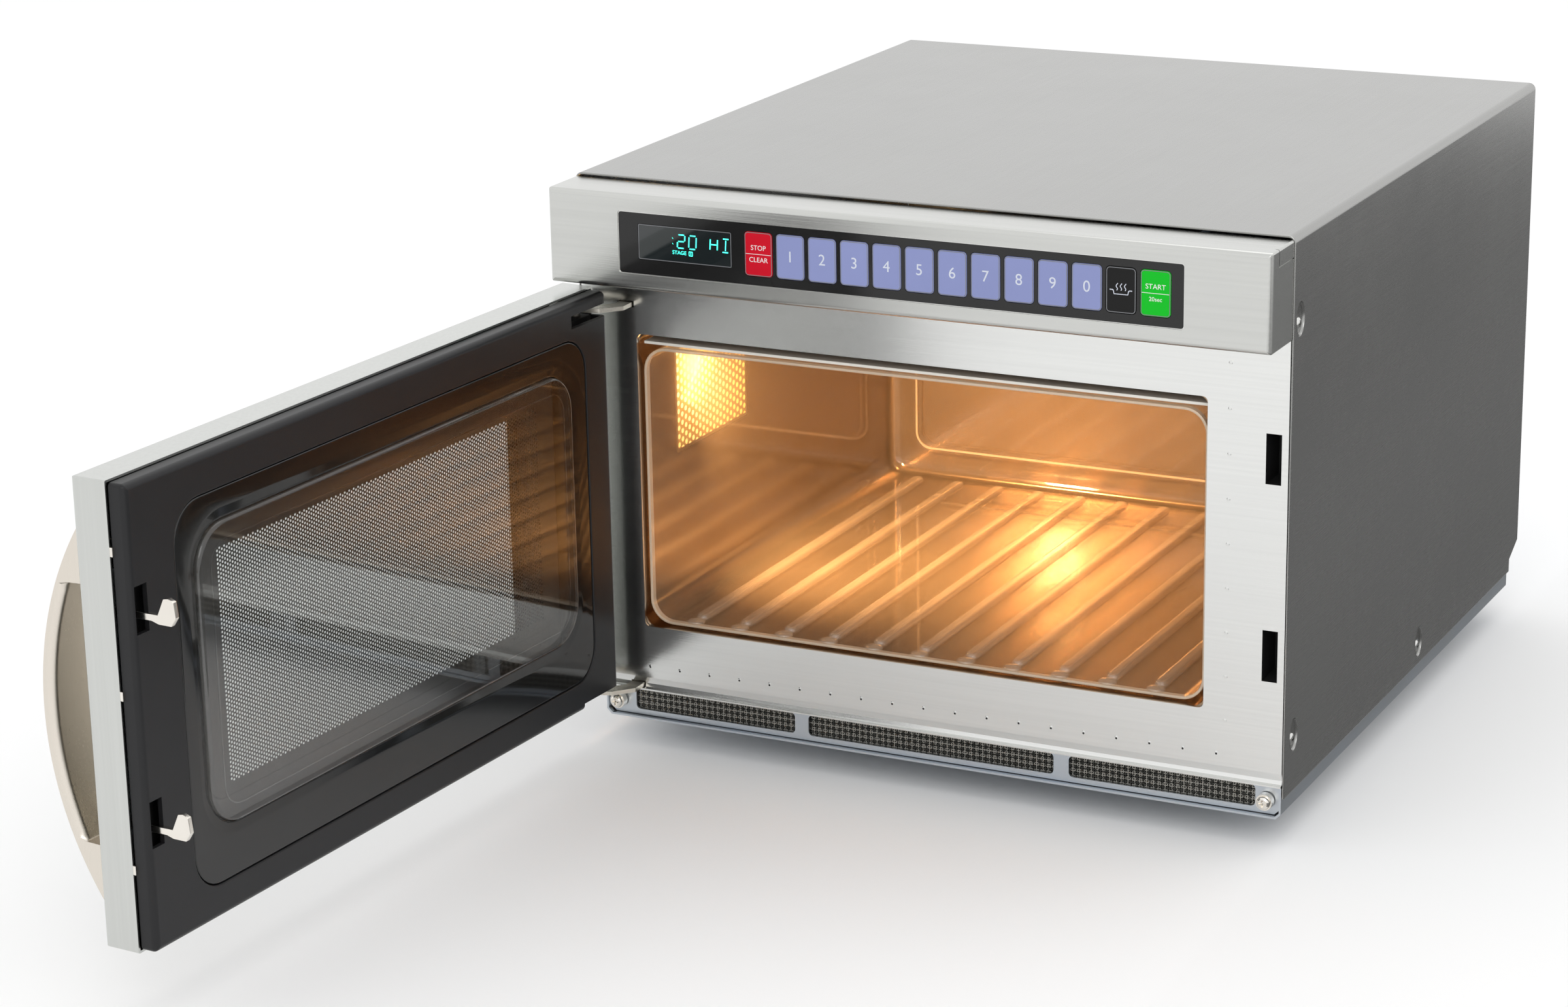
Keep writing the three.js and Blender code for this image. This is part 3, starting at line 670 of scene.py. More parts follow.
@dataclass(frozen=True)
class Section:
    """A rounded rectangle across x and z, at one depth y."""

    x: Span
    z: Span
    y: float
    radius: float = 0.5

    def inset(self, by: float, y: float | None = None) -> Section:
        """The same outline drawn in on every side, and moved to another depth if one is given."""
        depth = self.y if y is None else y
        return Section(grown(self.x, -by), grown(self.z, -by), depth, max(self.radius - by, 0.3))

    def at(self, y: float) -> Section:
        """The same outline at another depth."""
        return replace(self, y=y)

    def rolled(self, roll: float, y: float, steps: int = 4, rear: bool = False) -> list[Section]:
        """Sections that turn a rounded edge from this outline's wall into a face.

        Args:
            roll: The edge's radius; negative rolls outwards.
            y: The face's depth.
            steps: Facets in the quarter turn.
            rear: Whether the face looks backwards, so that its wall lies in front of it.

        Returns:
            The sections, from the wall to the face.
        """
        back = -abs(roll) if rear else abs(roll)
        turns = [math.pi / 2 * i / steps for i in range(steps + 1)]
        return [self.inset(roll * (1 - math.cos(a)), y + back * (1 - math.sin(a))) for a in turns]


class Shape:
    """A bmesh in millimetres, with the operations that the oven's pieces are made of."""

    def __init__(self, bm: bmesh.types.BMesh | None = None) -> None:
        """Starts empty, or on a bmesh that it then owns."""
        self.bm = bm or bmesh.new()

    @classmethod
    def block(cls, x: Span, y: Span, z: Span) -> Shape:
        """A box over three spans.

        Args:
            x: Its x span.
            y: Its y span.
            z: Its z span.

        Returns:
            The shape.
        """
        made = cls()
        size = [s[1] - s[0] for s in (x, y, z)]
        place = Matrix.Translation([middle(s) for s in (x, y, z)]) @ Matrix.Diagonal((*size, 1))
        bmesh.ops.create_cube(made.bm, size=1.0, matrix=place)
        return made

    @classmethod
    def lofted(cls, sections: Sequence[Section], closed: bool = False) -> Shape:
        """A skin through sections.

        Args:
            sections: The outlines in order.
            closed: Joins the last to the first; if not, both ends are filled.

        Returns:
            The shape, its faces pointing outwards.
        """
        made = cls()
        cap = made._ring(sections[0])
        ring, edges = list(cap.verts), list(cap.edges)
        rest = [*sections[1:], sections[0]] if closed else sections[1:]
        for section in rest:
            mould = cls()
            targets = [v.co.copy() for v in mould._ring(section).verts]
            mould.bm.free()
            grown_geom = bmesh.ops.extrude_edge_only(made.bm, edges=edges)["geom"]
            fresh = {g for g in grown_geom if isinstance(g, bmesh.types.BMVert)}
            edges = [g for g in grown_geom if isinstance(g, bmesh.types.BMEdge) and fresh.issuperset(g.verts)]
            ring = [next(e.other_vert(v) for e in v.link_edges if e.other_vert(v) in fresh) for v in ring]
            for vert, target in zip(ring, targets):
                vert.co = target
        if closed:
            bmesh.ops.delete(made.bm, geom=[cap], context="FACES_ONLY")
        else:
            bmesh.ops.contextual_create(made.bm, geom=edges)
        return made.tidied()

    def _ring(self, section: Section) -> bmesh.types.BMFace:
        """A rounded face in its plane, whose corners always come in the same order.

        Args:
            section: The outline.

        Returns:
            The face.
        """
        corners = bmesh.ops.create_grid(self.bm, x_segments=1, y_segments=1, size=0.5)["verts"]
        size = (section.x[1] - section.x[0], section.z[1] - section.z[0], 1, 1)
        upright = Matrix.Rotation(math.pi / 2, 4, "X") @ Matrix.Diagonal(size)
        place = Matrix.Translation((middle(section.x), section.y, middle(section.z))) @ upright
        bmesh.ops.transform(self.bm, matrix=place, verts=corners)
        rounded = bmesh.ops.bevel(
            self.bm, geom=corners, offset=section.radius, offset_type="OFFSET", segments=CORNER_STEPS,
            profile=0.5, affect="VERTICES", material=-1,
        )  # fmt: skip
        return rounded["verts"][0].link_faces[0]

    @classmethod
    def turned(cls, profile: Sequence[tuple[float, float]], steps: int = 32) -> Shape:
        """A solid of revolution about z.

        Args:
            profile: (radius, height) pairs that start and end on the axis.
            steps: Facets round the axis.

        Returns:
            The shape.
        """
        made = cls()
        points = [made.bm.verts.new((r, 0, h)) for r, h in profile]
        edges = [made.bm.edges.new(pair) for pair in zip(points, points[1:])]
        bmesh.ops.spin(
            made.bm, geom=points + edges, cent=(0, 0, 0), axis=(0, 0, 1), angle=2 * math.pi,
            steps=steps, use_merge=True,
        )  # fmt: skip
        return made.tidied()

    @classmethod
    def of_node(cls, node: str, space: Space) -> Shape:
        """A copy of a CAD node with its triangles merged into whole faces.

        Args:
            node: The CAD node's name.
            space: The coordinates to draw it in.

        Returns:
            The shape.
        """
        made = cls()
        made.bm.from_mesh(frame["nodes"][node].data)
        bmesh.ops.transform(made.bm, matrix=space.to_frame.inverted(), verts=made.bm.verts)
        bmesh.ops.remove_doubles(made.bm, verts=made.bm.verts, dist=0.004)
        flat = math.radians(0.6)
        bmesh.ops.dissolve_limit(made.bm, angle_limit=flat, verts=made.bm.verts, edges=made.bm.edges)
        return made

    @classmethod
    def of_curve(cls, curve: bpy.types.Curve) -> Shape:
        """The mesh that a curve or text makes; the curve is then removed.

        Args:
            curve: The curve or text.

        Returns:
            The shape.
        """
        holder = bpy.data.objects.new("drawing", curve)
        bpy.context.scene.collection.objects.link(holder)
        graph = bpy.context.evaluated_depsgraph_get()
        mesh = bpy.data.meshes.new_from_object(holder.evaluated_get(graph))
        made = cls()
        made.bm.from_mesh(mesh)
        bpy.data.objects.remove(holder)
        bpy.data.meshes.remove(mesh)
        bpy.data.curves.remove(curve)
        return made

    @classmethod
    def stroke(cls, points: Sequence[tuple[float, float]], width: float, smooth: bool = False) -> Shape:
        """A round stroke through points of the xz plane, at y = 0.

        Args:
            points: Places as (x, z).
            width: Its diameter.
            smooth: Whether it bends smoothly between them.

        Returns:
            The shape.
        """
        curve = bpy.data.curves.new("stroke", "CURVE")
        curve.dimensions = "3D"
        curve.bevel_depth = width / 2
        curve.bevel_resolution = 2
        curve.use_fill_caps = True
        line = curve.splines.new("NURBS" if smooth else "POLY")
        line.points.add(len(points) - 1)
        for point, (x, z) in zip(line.points, points):
            point.co = (x, 0, z, 1)
        if smooth:
            line.order_u = 3
            line.use_endpoint_u = True
        return cls.of_curve(curve)

    @classmethod
    def text(cls, words: str, height: float, thickness: float = 0.05) -> Shape:
        """Generic lettering in the xz plane, centred on the origin, raised towards -y.

        Args:
            words: The letters.
            height: A capital's height.
            thickness: How far they are raised in all.

        Returns:
            The shape.
        """
        curve = bpy.data.curves.new("text", "FONT")
        curve.body = words
        curve.size = height / 0.72
        curve.align_x = "CENTER"
        curve.align_y = "CENTER"
        curve.extrude = thickness / 2
        made = cls.of_curve(curve)
        return made.transformed(Matrix.Rotation(math.pi / 2, 4, "X"))

    def tidied(self) -> Shape:
        """Merges doubles and turns every face outwards.

        Returns:
            This shape.
        """
        bmesh.ops.remove_doubles(self.bm, verts=self.bm.verts, dist=0.0005)
        bmesh.ops.recalc_face_normals(self.bm, faces=self.bm.faces)
        return self

    def transformed(self, matrix: Matrix) -> Shape:
        """Moves, turns or scales the whole shape."""
        bmesh.ops.transform(self.bm, matrix=matrix, verts=self.bm.verts)
        return self

    def moved(self, x: float = 0, y: float = 0, z: float = 0) -> Shape:
        """Moves the whole shape."""
        return self.transformed(Matrix.Translation((x, y, z)))

    def facing(self, axis: Axis, sign: int = 1) -> Shape:
        """Turns a shape made along +z so that it points along an axis."""
        aim = (axis.vector * sign).to_track_quat("Z", "Y")
        return self.transformed(aim.to_matrix().to_4x4())

    def softened(self, width: float, steps: int = 2, angle: float = 40) -> Shape:
        """Rounds every edge sharper than an angle.

        Args:
            width: The bevel's width in millimetres.
            steps: Its segments.
            angle: The least angle between two faces, in degrees.

        Returns:
            This shape.
        """
        limit = math.radians(angle)
        sharp = [e for e in self.bm.edges if e.is_manifold and e.calc_face_angle(0) > limit]
        bmesh.ops.bevel(
            self.bm, geom=sharp, offset=width, offset_type="OFFSET", segments=steps, profile=0.5,
            affect="EDGES", clamp_overlap=True, material=-1,
        )  # fmt: skip
        return self

    def joined(self, *others: Shape) -> Shape:
        """Adds other shapes' meshes to this one.

        Args:
            *others: The shapes, which are used up.

        Returns:
            This shape.
        """
        for other in others:
            mesh = bpy.data.meshes.new("joined")
            other.bm.to_mesh(mesh)
            other.bm.free()
            self.bm.from_mesh(mesh)
            bpy.data.meshes.remove(mesh)
        return self

    def cut_by(self, *tools: Shape) -> Shape:
        """Takes other closed shapes out of this one, one after another.

        Args:
            *tools: The cutters, which are used up.

        Returns:
            This shape.
        """
        for tool in tools:
            body, cutter = self._holder(), tool._holder()
            cut = body.modifiers.new("cut", "BOOLEAN")
            cut.operation = "DIFFERENCE"
            cut.solver = "EXACT"
            cut.object = cutter
            graph = bpy.context.evaluated_depsgraph_get()
            mesh = bpy.data.meshes.new_from_object(body.evaluated_get(graph))
            self.bm = bmesh.new()
            self.bm.from_mesh(mesh)
            bpy.data.meshes.remove(mesh)
            for holder in (body, cutter):
                bpy.data.meshes.remove(holder.data)
        return self

    def _holder(self) -> bpy.types.Object:
        """Moves the mesh to a short-lived object, for a modifier.

        Returns:
            The object.
        """
        mesh = bpy.data.meshes.new("holder")
        self.bm.to_mesh(mesh)
        self.bm.free()
        made = bpy.data.objects.new("holder", mesh)
        bpy.context.scene.collection.objects.link(made)
        return made


def dressed(
    name: str, shape: Shape, finish: Finish, body: str, space: Space = CABINET,
    replaces: Iterable[str] = (), smooth: float = 38,
) -> bpy.types.Object:  # fmt: skip
    """Turns a shape into a finished piece that rides on a body.

    Args:
        name: The piece's name.
        shape: The shape, in the space's millimetres; it is used up.
        finish: Its material.
        body: The body that it moves with.
        space: The coordinates it was drawn in.
        replaces: CAD nodes that it stands for.
        smooth: Edges flatter than this many degrees are shaded smooth.

    Returns:
        The piece.
    """
    shape.transformed(space.to_frame)
    mesh = bpy.data.meshes.new(name)
    shape.bm.to_mesh(mesh)
    shape.bm.free()
    mesh.shade_smooth()
    mesh.set_sharp_from_angle(angle=math.radians(smooth))
    mesh.materials.clear()
    mesh.materials.append(material_of(finish))
    piece = bpy.data.objects.new(name, mesh)
    bpy.context.scene.collection.objects.link(piece)
    evened = piece.modifiers.new("even_shading", "WEIGHTED_NORMAL")
    evened.keep_sharp = True
    evened.weight = 80
    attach(piece, body)
    if replaces:
        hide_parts(*replaces)
    LOG.info("%s: %d faces on %s", name, len(mesh.polygons), body)
    return piece


def finish_node(node: str, finish: Finish) -> None:
    """Gives a CAD node that is shown as it is a finish of its own.

    Args:
        node: The CAD node's name.
        finish: Its finish.
    """
    mesh = frame["nodes"][node].data
    mesh.materials.clear()
    mesh.materials.append(material_of(finish))
    LOG.info("%s: finished as %s", node, finish.name)


def cross_cut(head: Shape, radius: float, depth: float, top: float) -> Shape:
    """Cuts a cross-head recess into a screw that points along +z.

    Args:
        head: The screw.
        radius: Half the length of the recess's arms.
        depth: How deep it goes.
        top: The height of the screw's crown.

    Returns:
        The screw.
    """
    arm = (-radius, radius)
    bar = (-radius * 0.26, radius * 0.26)
    deep = (top - depth, top + 1)
    return head.cut_by(Shape.block(arm, bar, deep), Shape.block(bar, arm, deep))


def dome_screw(radius: float, height: float) -> Shape:
    """A domed cross-head screw standing on z = 0.

    Args:
        radius: The head's radius.
        height: The head's height.

    Returns:
        The screw.
    """
    steps = 6
    dome = [
        (radius * math.cos(a), height * (0.3 + 0.7 * math.sin(a)))
        for a in (math.pi / 2 * i / steps for i in range(steps))
    ]
    head = Shape.turned([(0, -1), (radius, -1), *dome, (0, height)], 28)
    return cross_cut(head, radius * 0.55, height * 0.7, height)


def ribbon(length: float, width: float, thickness: float, bends: int, swing: Vector, phase: int) -> Shape:
    """A strip along x that bends to and fro.

    Args:
        length: Its length.
        width: Its width along z.
        thickness: Its thickness along y.
        bends: How many straight runs it has.
        swing: How far every other bend moves, either way.
        phase: 0 or 1, for which way the first bend moves.

    Returns:
        The strip, centred on the origin.
    """
    made = Shape()
    bmesh.ops.create_grid(made.bm, x_segments=bends, y_segments=1, size=0.5)
    made.transformed(Matrix.Rotation(math.pi / 2, 4, "X") @ Matrix.Diagonal((length, width, 1, 1)))
    for v in made.bm.verts:
        step = round((v.co.x / length + 0.5) * bends)
        v.co += swing * (1 if (step + phase) % 2 else -1)
    bmesh.ops.solidify(made.bm, geom=made.bm.faces[:], thickness=thickness)
    return made


# ---------------------------------------------------------------------------
# Sub-assemblies
# ---------------------------------------------------------------------------


@dataclass
class Cabinet:
    """The sheet-metal outside: cover, base, front plate, header, rear panel, feet, screws and hinge arms."""

    edge: float = 0.45
    crease: float = 16
    side_screws: tuple[Span, ...] = ((10.0, 274.5), (14.0, 44.5), (236.0, 26.0))
    side_head: tuple[float, float] = (3.5, 2.3)
    side_drop: float = 2.8
    dimple: tuple[float, float] = (6.2, 9.0)
    dimple_depth: float = 2.0
    dimple_flat: float = 0.45
    dimple_wall: float = 0.8
    dimple_skirt: float = 0.9
    weld_margin: float = 37.0
    weld_pitch: float = 18.7
    weld_row: float = 33.0
    weld_column: float = 388.0
    weld_column_run: Span = (52.0, 250.0)
    weld_column_pitch: float = 24.0
    header_wall: float = 1.2
    header_roll: float = 3.0
    seam_inset: float = 2.5
    seam_depth: float = 1.6
    rear_margin: float = 9.0
    rear_head: tuple[float, float] = (3.4, 1.6)
    foot_hollow: tuple[float, float] = (5.0, 1.5)

    def build(self) -> None:
        """Makes and dresses every piece."""
        self._cover()
        self._front_plate()
        self._bezel()
        self._rear()
        self._base_and_feet()
        self._hinge_arms()

    def _cover(self) -> None:
        """The wrap with its screw dimples, and the screws in them."""
        x, _, _ = CABINET.spans("cabinet_cover")
        cover = Shape.of_node("cabinet_cover", CABINET)
        cover.cut_by(*[self._dimple_hole(side, place) for side in x for place in self.side_screws])
        cover.softened(self.edge)
        dressed("cover", cover, COVER_STEEL, "oven", CABINET, ["cabinet_cover"], self.crease)
        for side, sign, name in ((x[0], -1, "left"), (x[1], 1, "right")):
            dimples = Shape().joined(*[self._dimple(side, sign, place) for place in self.side_screws])
            dressed(f"cover_dimples_{name}", dimples, COVER_STEEL, "oven", smooth=70)
            screws = [self._side_screw(side, sign, place) for place in self.side_screws]
            dressed(f"side_screws_{name}", Shape().joined(*screws), SCREW_STEEL, "oven")

    def _at_dimple(self, unit: Shape, side: float, place: Span) -> Shape:
        """Stretches a shape of radius 1 to the dimples' oval and sets it on a side of the cover."""
        oval = Matrix.Translation((side, 0, 0)) @ Matrix.Diagonal((1, *self.dimple, 1))
        return unit.transformed(oval).moved(y=place[0], z=place[1])

    def _dimple_hole(self, side: float, place: Span) -> Shape:
        """The cutter that opens the cover where a dimple goes."""
        drill = Shape.turned([(0, -3), (1, -3), (1, 3), (0, 3)], 32)
        return self._at_dimple(drill.facing(Axis.X), side, place)

    def _dimple(self, side: float, sign: int, place: Span) -> Shape:
        """A pressed oval dish that fills its cut-out in the cover.

        Args:
            side: The x of the cover's side.
            sign: 1 on the right, -1 on the left.
            place: Its y and z.

        Returns:
            The dish.
        """
        steps = 6
        deep, flat = self.dimple_depth, self.dimple_flat
        turns = [math.pi / 2 * i / steps for i in range(steps + 1)]
        dish = [(math.cos(a) * (1 - flat) + flat, -deep * math.sin(a)) for a in turns]
        under = [(0, -deep), (0, -deep - self.dimple_wall), (1.0, -self.dimple_skirt), (1.0, 0.0)]
        return self._at_dimple(Shape.turned(dish + under, 32).facing(Axis.X, sign), side, place)

    def _side_screw(self, side: float, sign: int, place: Span) -> Shape:
        """A domed screw low in its dimple."""
        screw = dome_screw(*self.side_head).facing(Axis.X, sign)
        return screw.moved(side - sign * (self.dimple_depth + 0.4), place[0], place[1] - self.side_drop)

    def _front_plate(self) -> None:
        """The front sheet with its rows of spot welds."""
        plate = Shape.of_node("front_plate", CABINET).softened(0.35)
        dressed(
            "front_sheet", plate, PLATE_STEEL, "oven", CABINET, ["front_plate"], self.crease,
        )  # fmt: skip
        x, _, _ = CABINET.spans("front_plate")
        mark = [(0, -0.12), (0.8, -0.1), (1.05, 0.0), (0, 0.0)]
        pit = [(0, -0.14), (0.6, -0.13), (0.7, 0), (0, 0)]
        row = [(at, self.weld_row) for at in self._steps(grown(x, -self.weld_margin), self.weld_pitch)]
        heights = self._steps(self.weld_column_run, self.weld_column_pitch)
        column = [(self.weld_column, at) for at in heights]
        marks = [Shape.turned(mark, 12).facing(Axis.Y, 1).moved(x=u, z=v) for u, v in row + column]
        dressed("weld_marks", Shape().joined(*marks), PLATE_STEEL, "oven", smooth=60)
        pits = [Shape.turned(pit, 10).facing(Axis.Y).moved(x=u, z=v - 0.4) for u, v in row]
        dressed("weld_pits", Shape().joined(*pits), DARK_GAP, "oven")

    @staticmethod
    def _steps(span: Span, pitch: float) -> list[float]:
        """Even places over a span, about a pitch apart.

        Args:
            span: The span.
            pitch: The pitch to come near.

        Returns:
            The places.
        """
        count = round((span[1] - span[0]) / pitch)
        return [span[0] + (span[1] - span[0]) * i / count for i in range(count + 1)]

    def _bezel(self) -> None:
        """The header that frames the fascia, and the seam behind it."""
        x, y, z = CABINET.spans("control_bezel")
        fx, _, fz = CABINET.spans("control_panel")
        outer = Section(x, z, y[1], 1.2)
        window = Section(grown(fx, 0.35), grown(fz, 0.35), y[0], 2.0)
        inner = outer.inset(self.header_wall)
        sections = [
            outer.at(y[1]),
            *outer.rolled(self.header_roll, y[0], 6),
            window.at(y[0]),
            window.at(y[0] + self.header_wall),
            inner.at(y[0] + self.header_wall),
            inner.at(y[1]),
        ]
        shell = Shape.lofted(sections, closed=True)
        notch = Shape.block((x[1] - 2.2, x[1] + 1), (y[0] + 10, y[0] + 10.5), (z[1] - 9, z[1] + 1))
        slit = Shape.block((x[1] - 0.5, x[1] + 1), (y[0] + 10, y[1] + 1), (z[1] - 9.5, z[1] - 9))
        shell.cut_by(notch, slit)
        dressed("header", shell, BEZEL_STEEL, "oven", replaces=["control_bezel"])
        seam = outer.inset(self.seam_inset)
        line = Shape.lofted([seam, seam.at(y[1] + self.seam_depth)])
        dressed("header_seam", line.moved(y=0.15), DARK_GAP, "oven")

    def _rear(self) -> None:
        """The rear sheet, its screws and the cord's gland."""
        panel = Shape.of_node("rear_panel", CABINET).softened(0.25)
        dressed("rear_sheet", panel, ZINC, "oven", CABINET, ["rear_panel"], self.crease)
        x, y, z = CABINET.spans("rear_panel")
        left, right = grown(x, -self.rear_margin)
        places = [(u, v) for u in (left, middle(x), right) for v in grown(z, -self.rear_margin)]
        places += [(left, middle(z)), (right, middle(z))]
        radius, height = self.rear_head
        face = min(y[1], CABINET.spans("cabinet_cover")[1][1] - height - 0.1)
        screws = [dome_screw(radius, height).facing(Axis.Y).moved(u, face, v) for u, v in places]
        dressed("rear_screws", Shape().joined(*screws), SCREW_STEEL, "oven")
        gland = Shape.of_node("cord_gland", CABINET).softened(0.5, 3)
        dressed("gland", gland, BLACK_PLASTIC, "oven", replaces=["cord_gland"])

    def _base_and_feet(self) -> None:
        """The base pan and its four feet."""
        pan = Shape.of_node("base_pan", CABINET).softened(0.3)
        dressed("pan", pan, ZINC, "oven", CABINET, ["base_pan"], self.crease)
        for row in ("front", "rear"):
            for side in ("left", "right"):
                self._foot(f"foot_{row}_{side}")

    def _foot(self, node: str) -> None:
        """A round rubber foot with a hollow sole, narrower below than above.

        Args:
            node: The CAD node that it replaces.
        """
        x, y, (low, high) = CABINET.spans(node)
        radius = (x[1] - x[0]) / 2
        hollow, deep = self.foot_hollow
        profile = [
            (0, low + deep),
            (hollow, low + deep),
            (hollow + 0.6, low),
            (radius - 4, low),
            (radius - 2.9, low + 0.8),
            (radius - 0.6, high - 5),
            (radius, high - 4),
            (radius, high - 0.8),
            (radius - 0.8, high),
            (0, high),
        ]
        foot = Shape.turned(profile, 40).moved(middle(x), middle(y))
        dressed(f"{node}_pad", foot, RUBBER, "oven", replaces=[node])

    def _hinge_arms(self) -> None:
        """The two plates that the door hangs on."""
        for level in ("upper", "lower"):
            node = f"hinge_arm_{level}"
            arm = Shape.of_node(node, CABINET).softened(0.35)
            dressed(f"{node}_plate", arm, HINGE_ZINC, "oven", CABINET, [node], self.crease)


@dataclass
class AirFilter:
    """The pull-out filter: its frame, woven wire over expanded strands, and two knurled thumb screws."""

    wire: float = 0.5
    pitch: float = 1.35
    diamond: tuple[float, float] = (6.2, 5.0)
    teeth: int = 44

    def build(self) -> None:
        """Makes and dresses every piece."""
        holder = Shape.of_node("air_filter_frame", CABINET).softened(0.3)
        dressed("filter_frame", holder, ZINC, "filter", CABINET, ["air_filter_frame"], 16)
        self._weave()
        self._strands()
        for side in ("left", "right"):
            self._thumb_screw(side)

    def _weave(self) -> None:
        """Wires that pass over and under each other both ways."""
        x, y, z = CABINET.spans("air_filter_mesh")
        columns = int((x[1] - x[0]) / self.pitch)
        rows = int((z[1] - z[0]) / self.pitch)
        swing = Vector((0, self.wire * 0.5, 0))
        wires = Shape()
        for j in range(rows):
            wire = ribbon(x[1] - x[0], self.wire, self.wire, columns, swing, j % 2)
            wires.joined(wire.moved(middle(x), middle(y), z[0] + (j + 0.5) * self.pitch))
        for i in range(columns):
            wire = ribbon(z[1] - z[0], self.wire, self.wire, rows, swing, (i + 1) % 2)
            wire.transformed(Matrix.Rotation(math.pi / 2, 4, "Y"))
            wires.joined(wire.moved(x[0] + (i + 0.5) * self.pitch, middle(y), middle(z)))
        dressed(
            "filter_weave", wires, WIRE, "filter", CABINET, ["air_filter_mesh"], smooth=60,
        )  # fmt: skip

    def _strands(self) -> None:
        """Diamonds of expanded sheet behind the wire, as zigzag strands."""
        x, y, z = CABINET.spans("air_filter_mesh")
        wide, tall = self.diamond
        count = int((x[1] - x[0]) / (wide / 2))
        made = Shape()
        for row in range(round((z[1] - z[0]) / tall) * 2 + 1):
            strand = ribbon(count * wide / 2, 1.5, 0.4, count, Vector((0, 0, tall / 4)), row % 2)
            height = min(max(z[0] + row * tall / 2, z[0] + 1.4), z[1] - 1.4)
            made.joined(strand.moved(middle(x), y[1] + 0.9 + 0.5 * (row % 2), height))
        dressed("filter_strands", made, FILTER_ALUMINIUM, "filter")

    def _thumb_screw(self, side: str) -> None:
        """A cross-head thumb screw with a knurled collar.

        Args:
            side: Left or right, as its node is named.
        """
        node = f"thumb_screw_{side}"
        x, y, z = CABINET.spans(node)
        radius = (x[1] - x[0]) / 2
        front, back = y
        depth = back - front
        shank, neck = 1.6, radius - 0.9
        foot = depth - 7.1
        profile = [(0, 0.0), (shank, 0.0), (shank, foot), (neck, foot), (neck, depth - 1.6)]
        profile += [(radius - 1.3, depth - 0.7), (radius - 2.2, depth - 0.1), (0, depth)]
        head = cross_cut(Shape.turned(profile, 40), 2.0, 1.5, depth)
        collar = self._knurled(radius, (depth - 6.6, depth - 2.4))
        screw = head.joined(collar).facing(Axis.Y, -1).moved(middle(x), back, middle(z))
        dressed(f"{node}_head", screw, NICKEL, f"{side}_screw", replaces=[node], smooth=30)

    def _knurled(self, radius: float, height: Span) -> Shape:
        """A collar with straight teeth round it.

        Args:
            radius: Its outer radius.
            height: Its two ends along z.

        Returns:
            The shape.
        """
        made = Shape()
        points = self.teeth * 2
        ring = bmesh.ops.create_circle(made.bm, cap_ends=True, segments=points, radius=radius)["verts"]
        for i, v in enumerate(ring):
            v.co *= 0.94 if i % 2 else 1.0
        rim = bmesh.ops.extrude_face_region(made.bm, geom=made.bm.faces[:])["geom"]
        raised = [g for g in rim if isinstance(g, bmesh.types.BMVert)]
        bmesh.ops.translate(made.bm, vec=(0, 0, height[1] - height[0]), verts=raised)
        bmesh.ops.recalc_face_normals(made.bm, faces=made.bm.faces)
        return made.moved(z=height[0])


class KeyFace(Enum):
    """What a key shows: its finish and its legend."""

    STOP = (KEY_RED, ("STOP", "CLEAR"))
    NUMBER = (KEY_BLUE, ())
    HEAT = (KEY_BLACK, ())
    START = (KEY_GREEN, ("START", "20sec"))


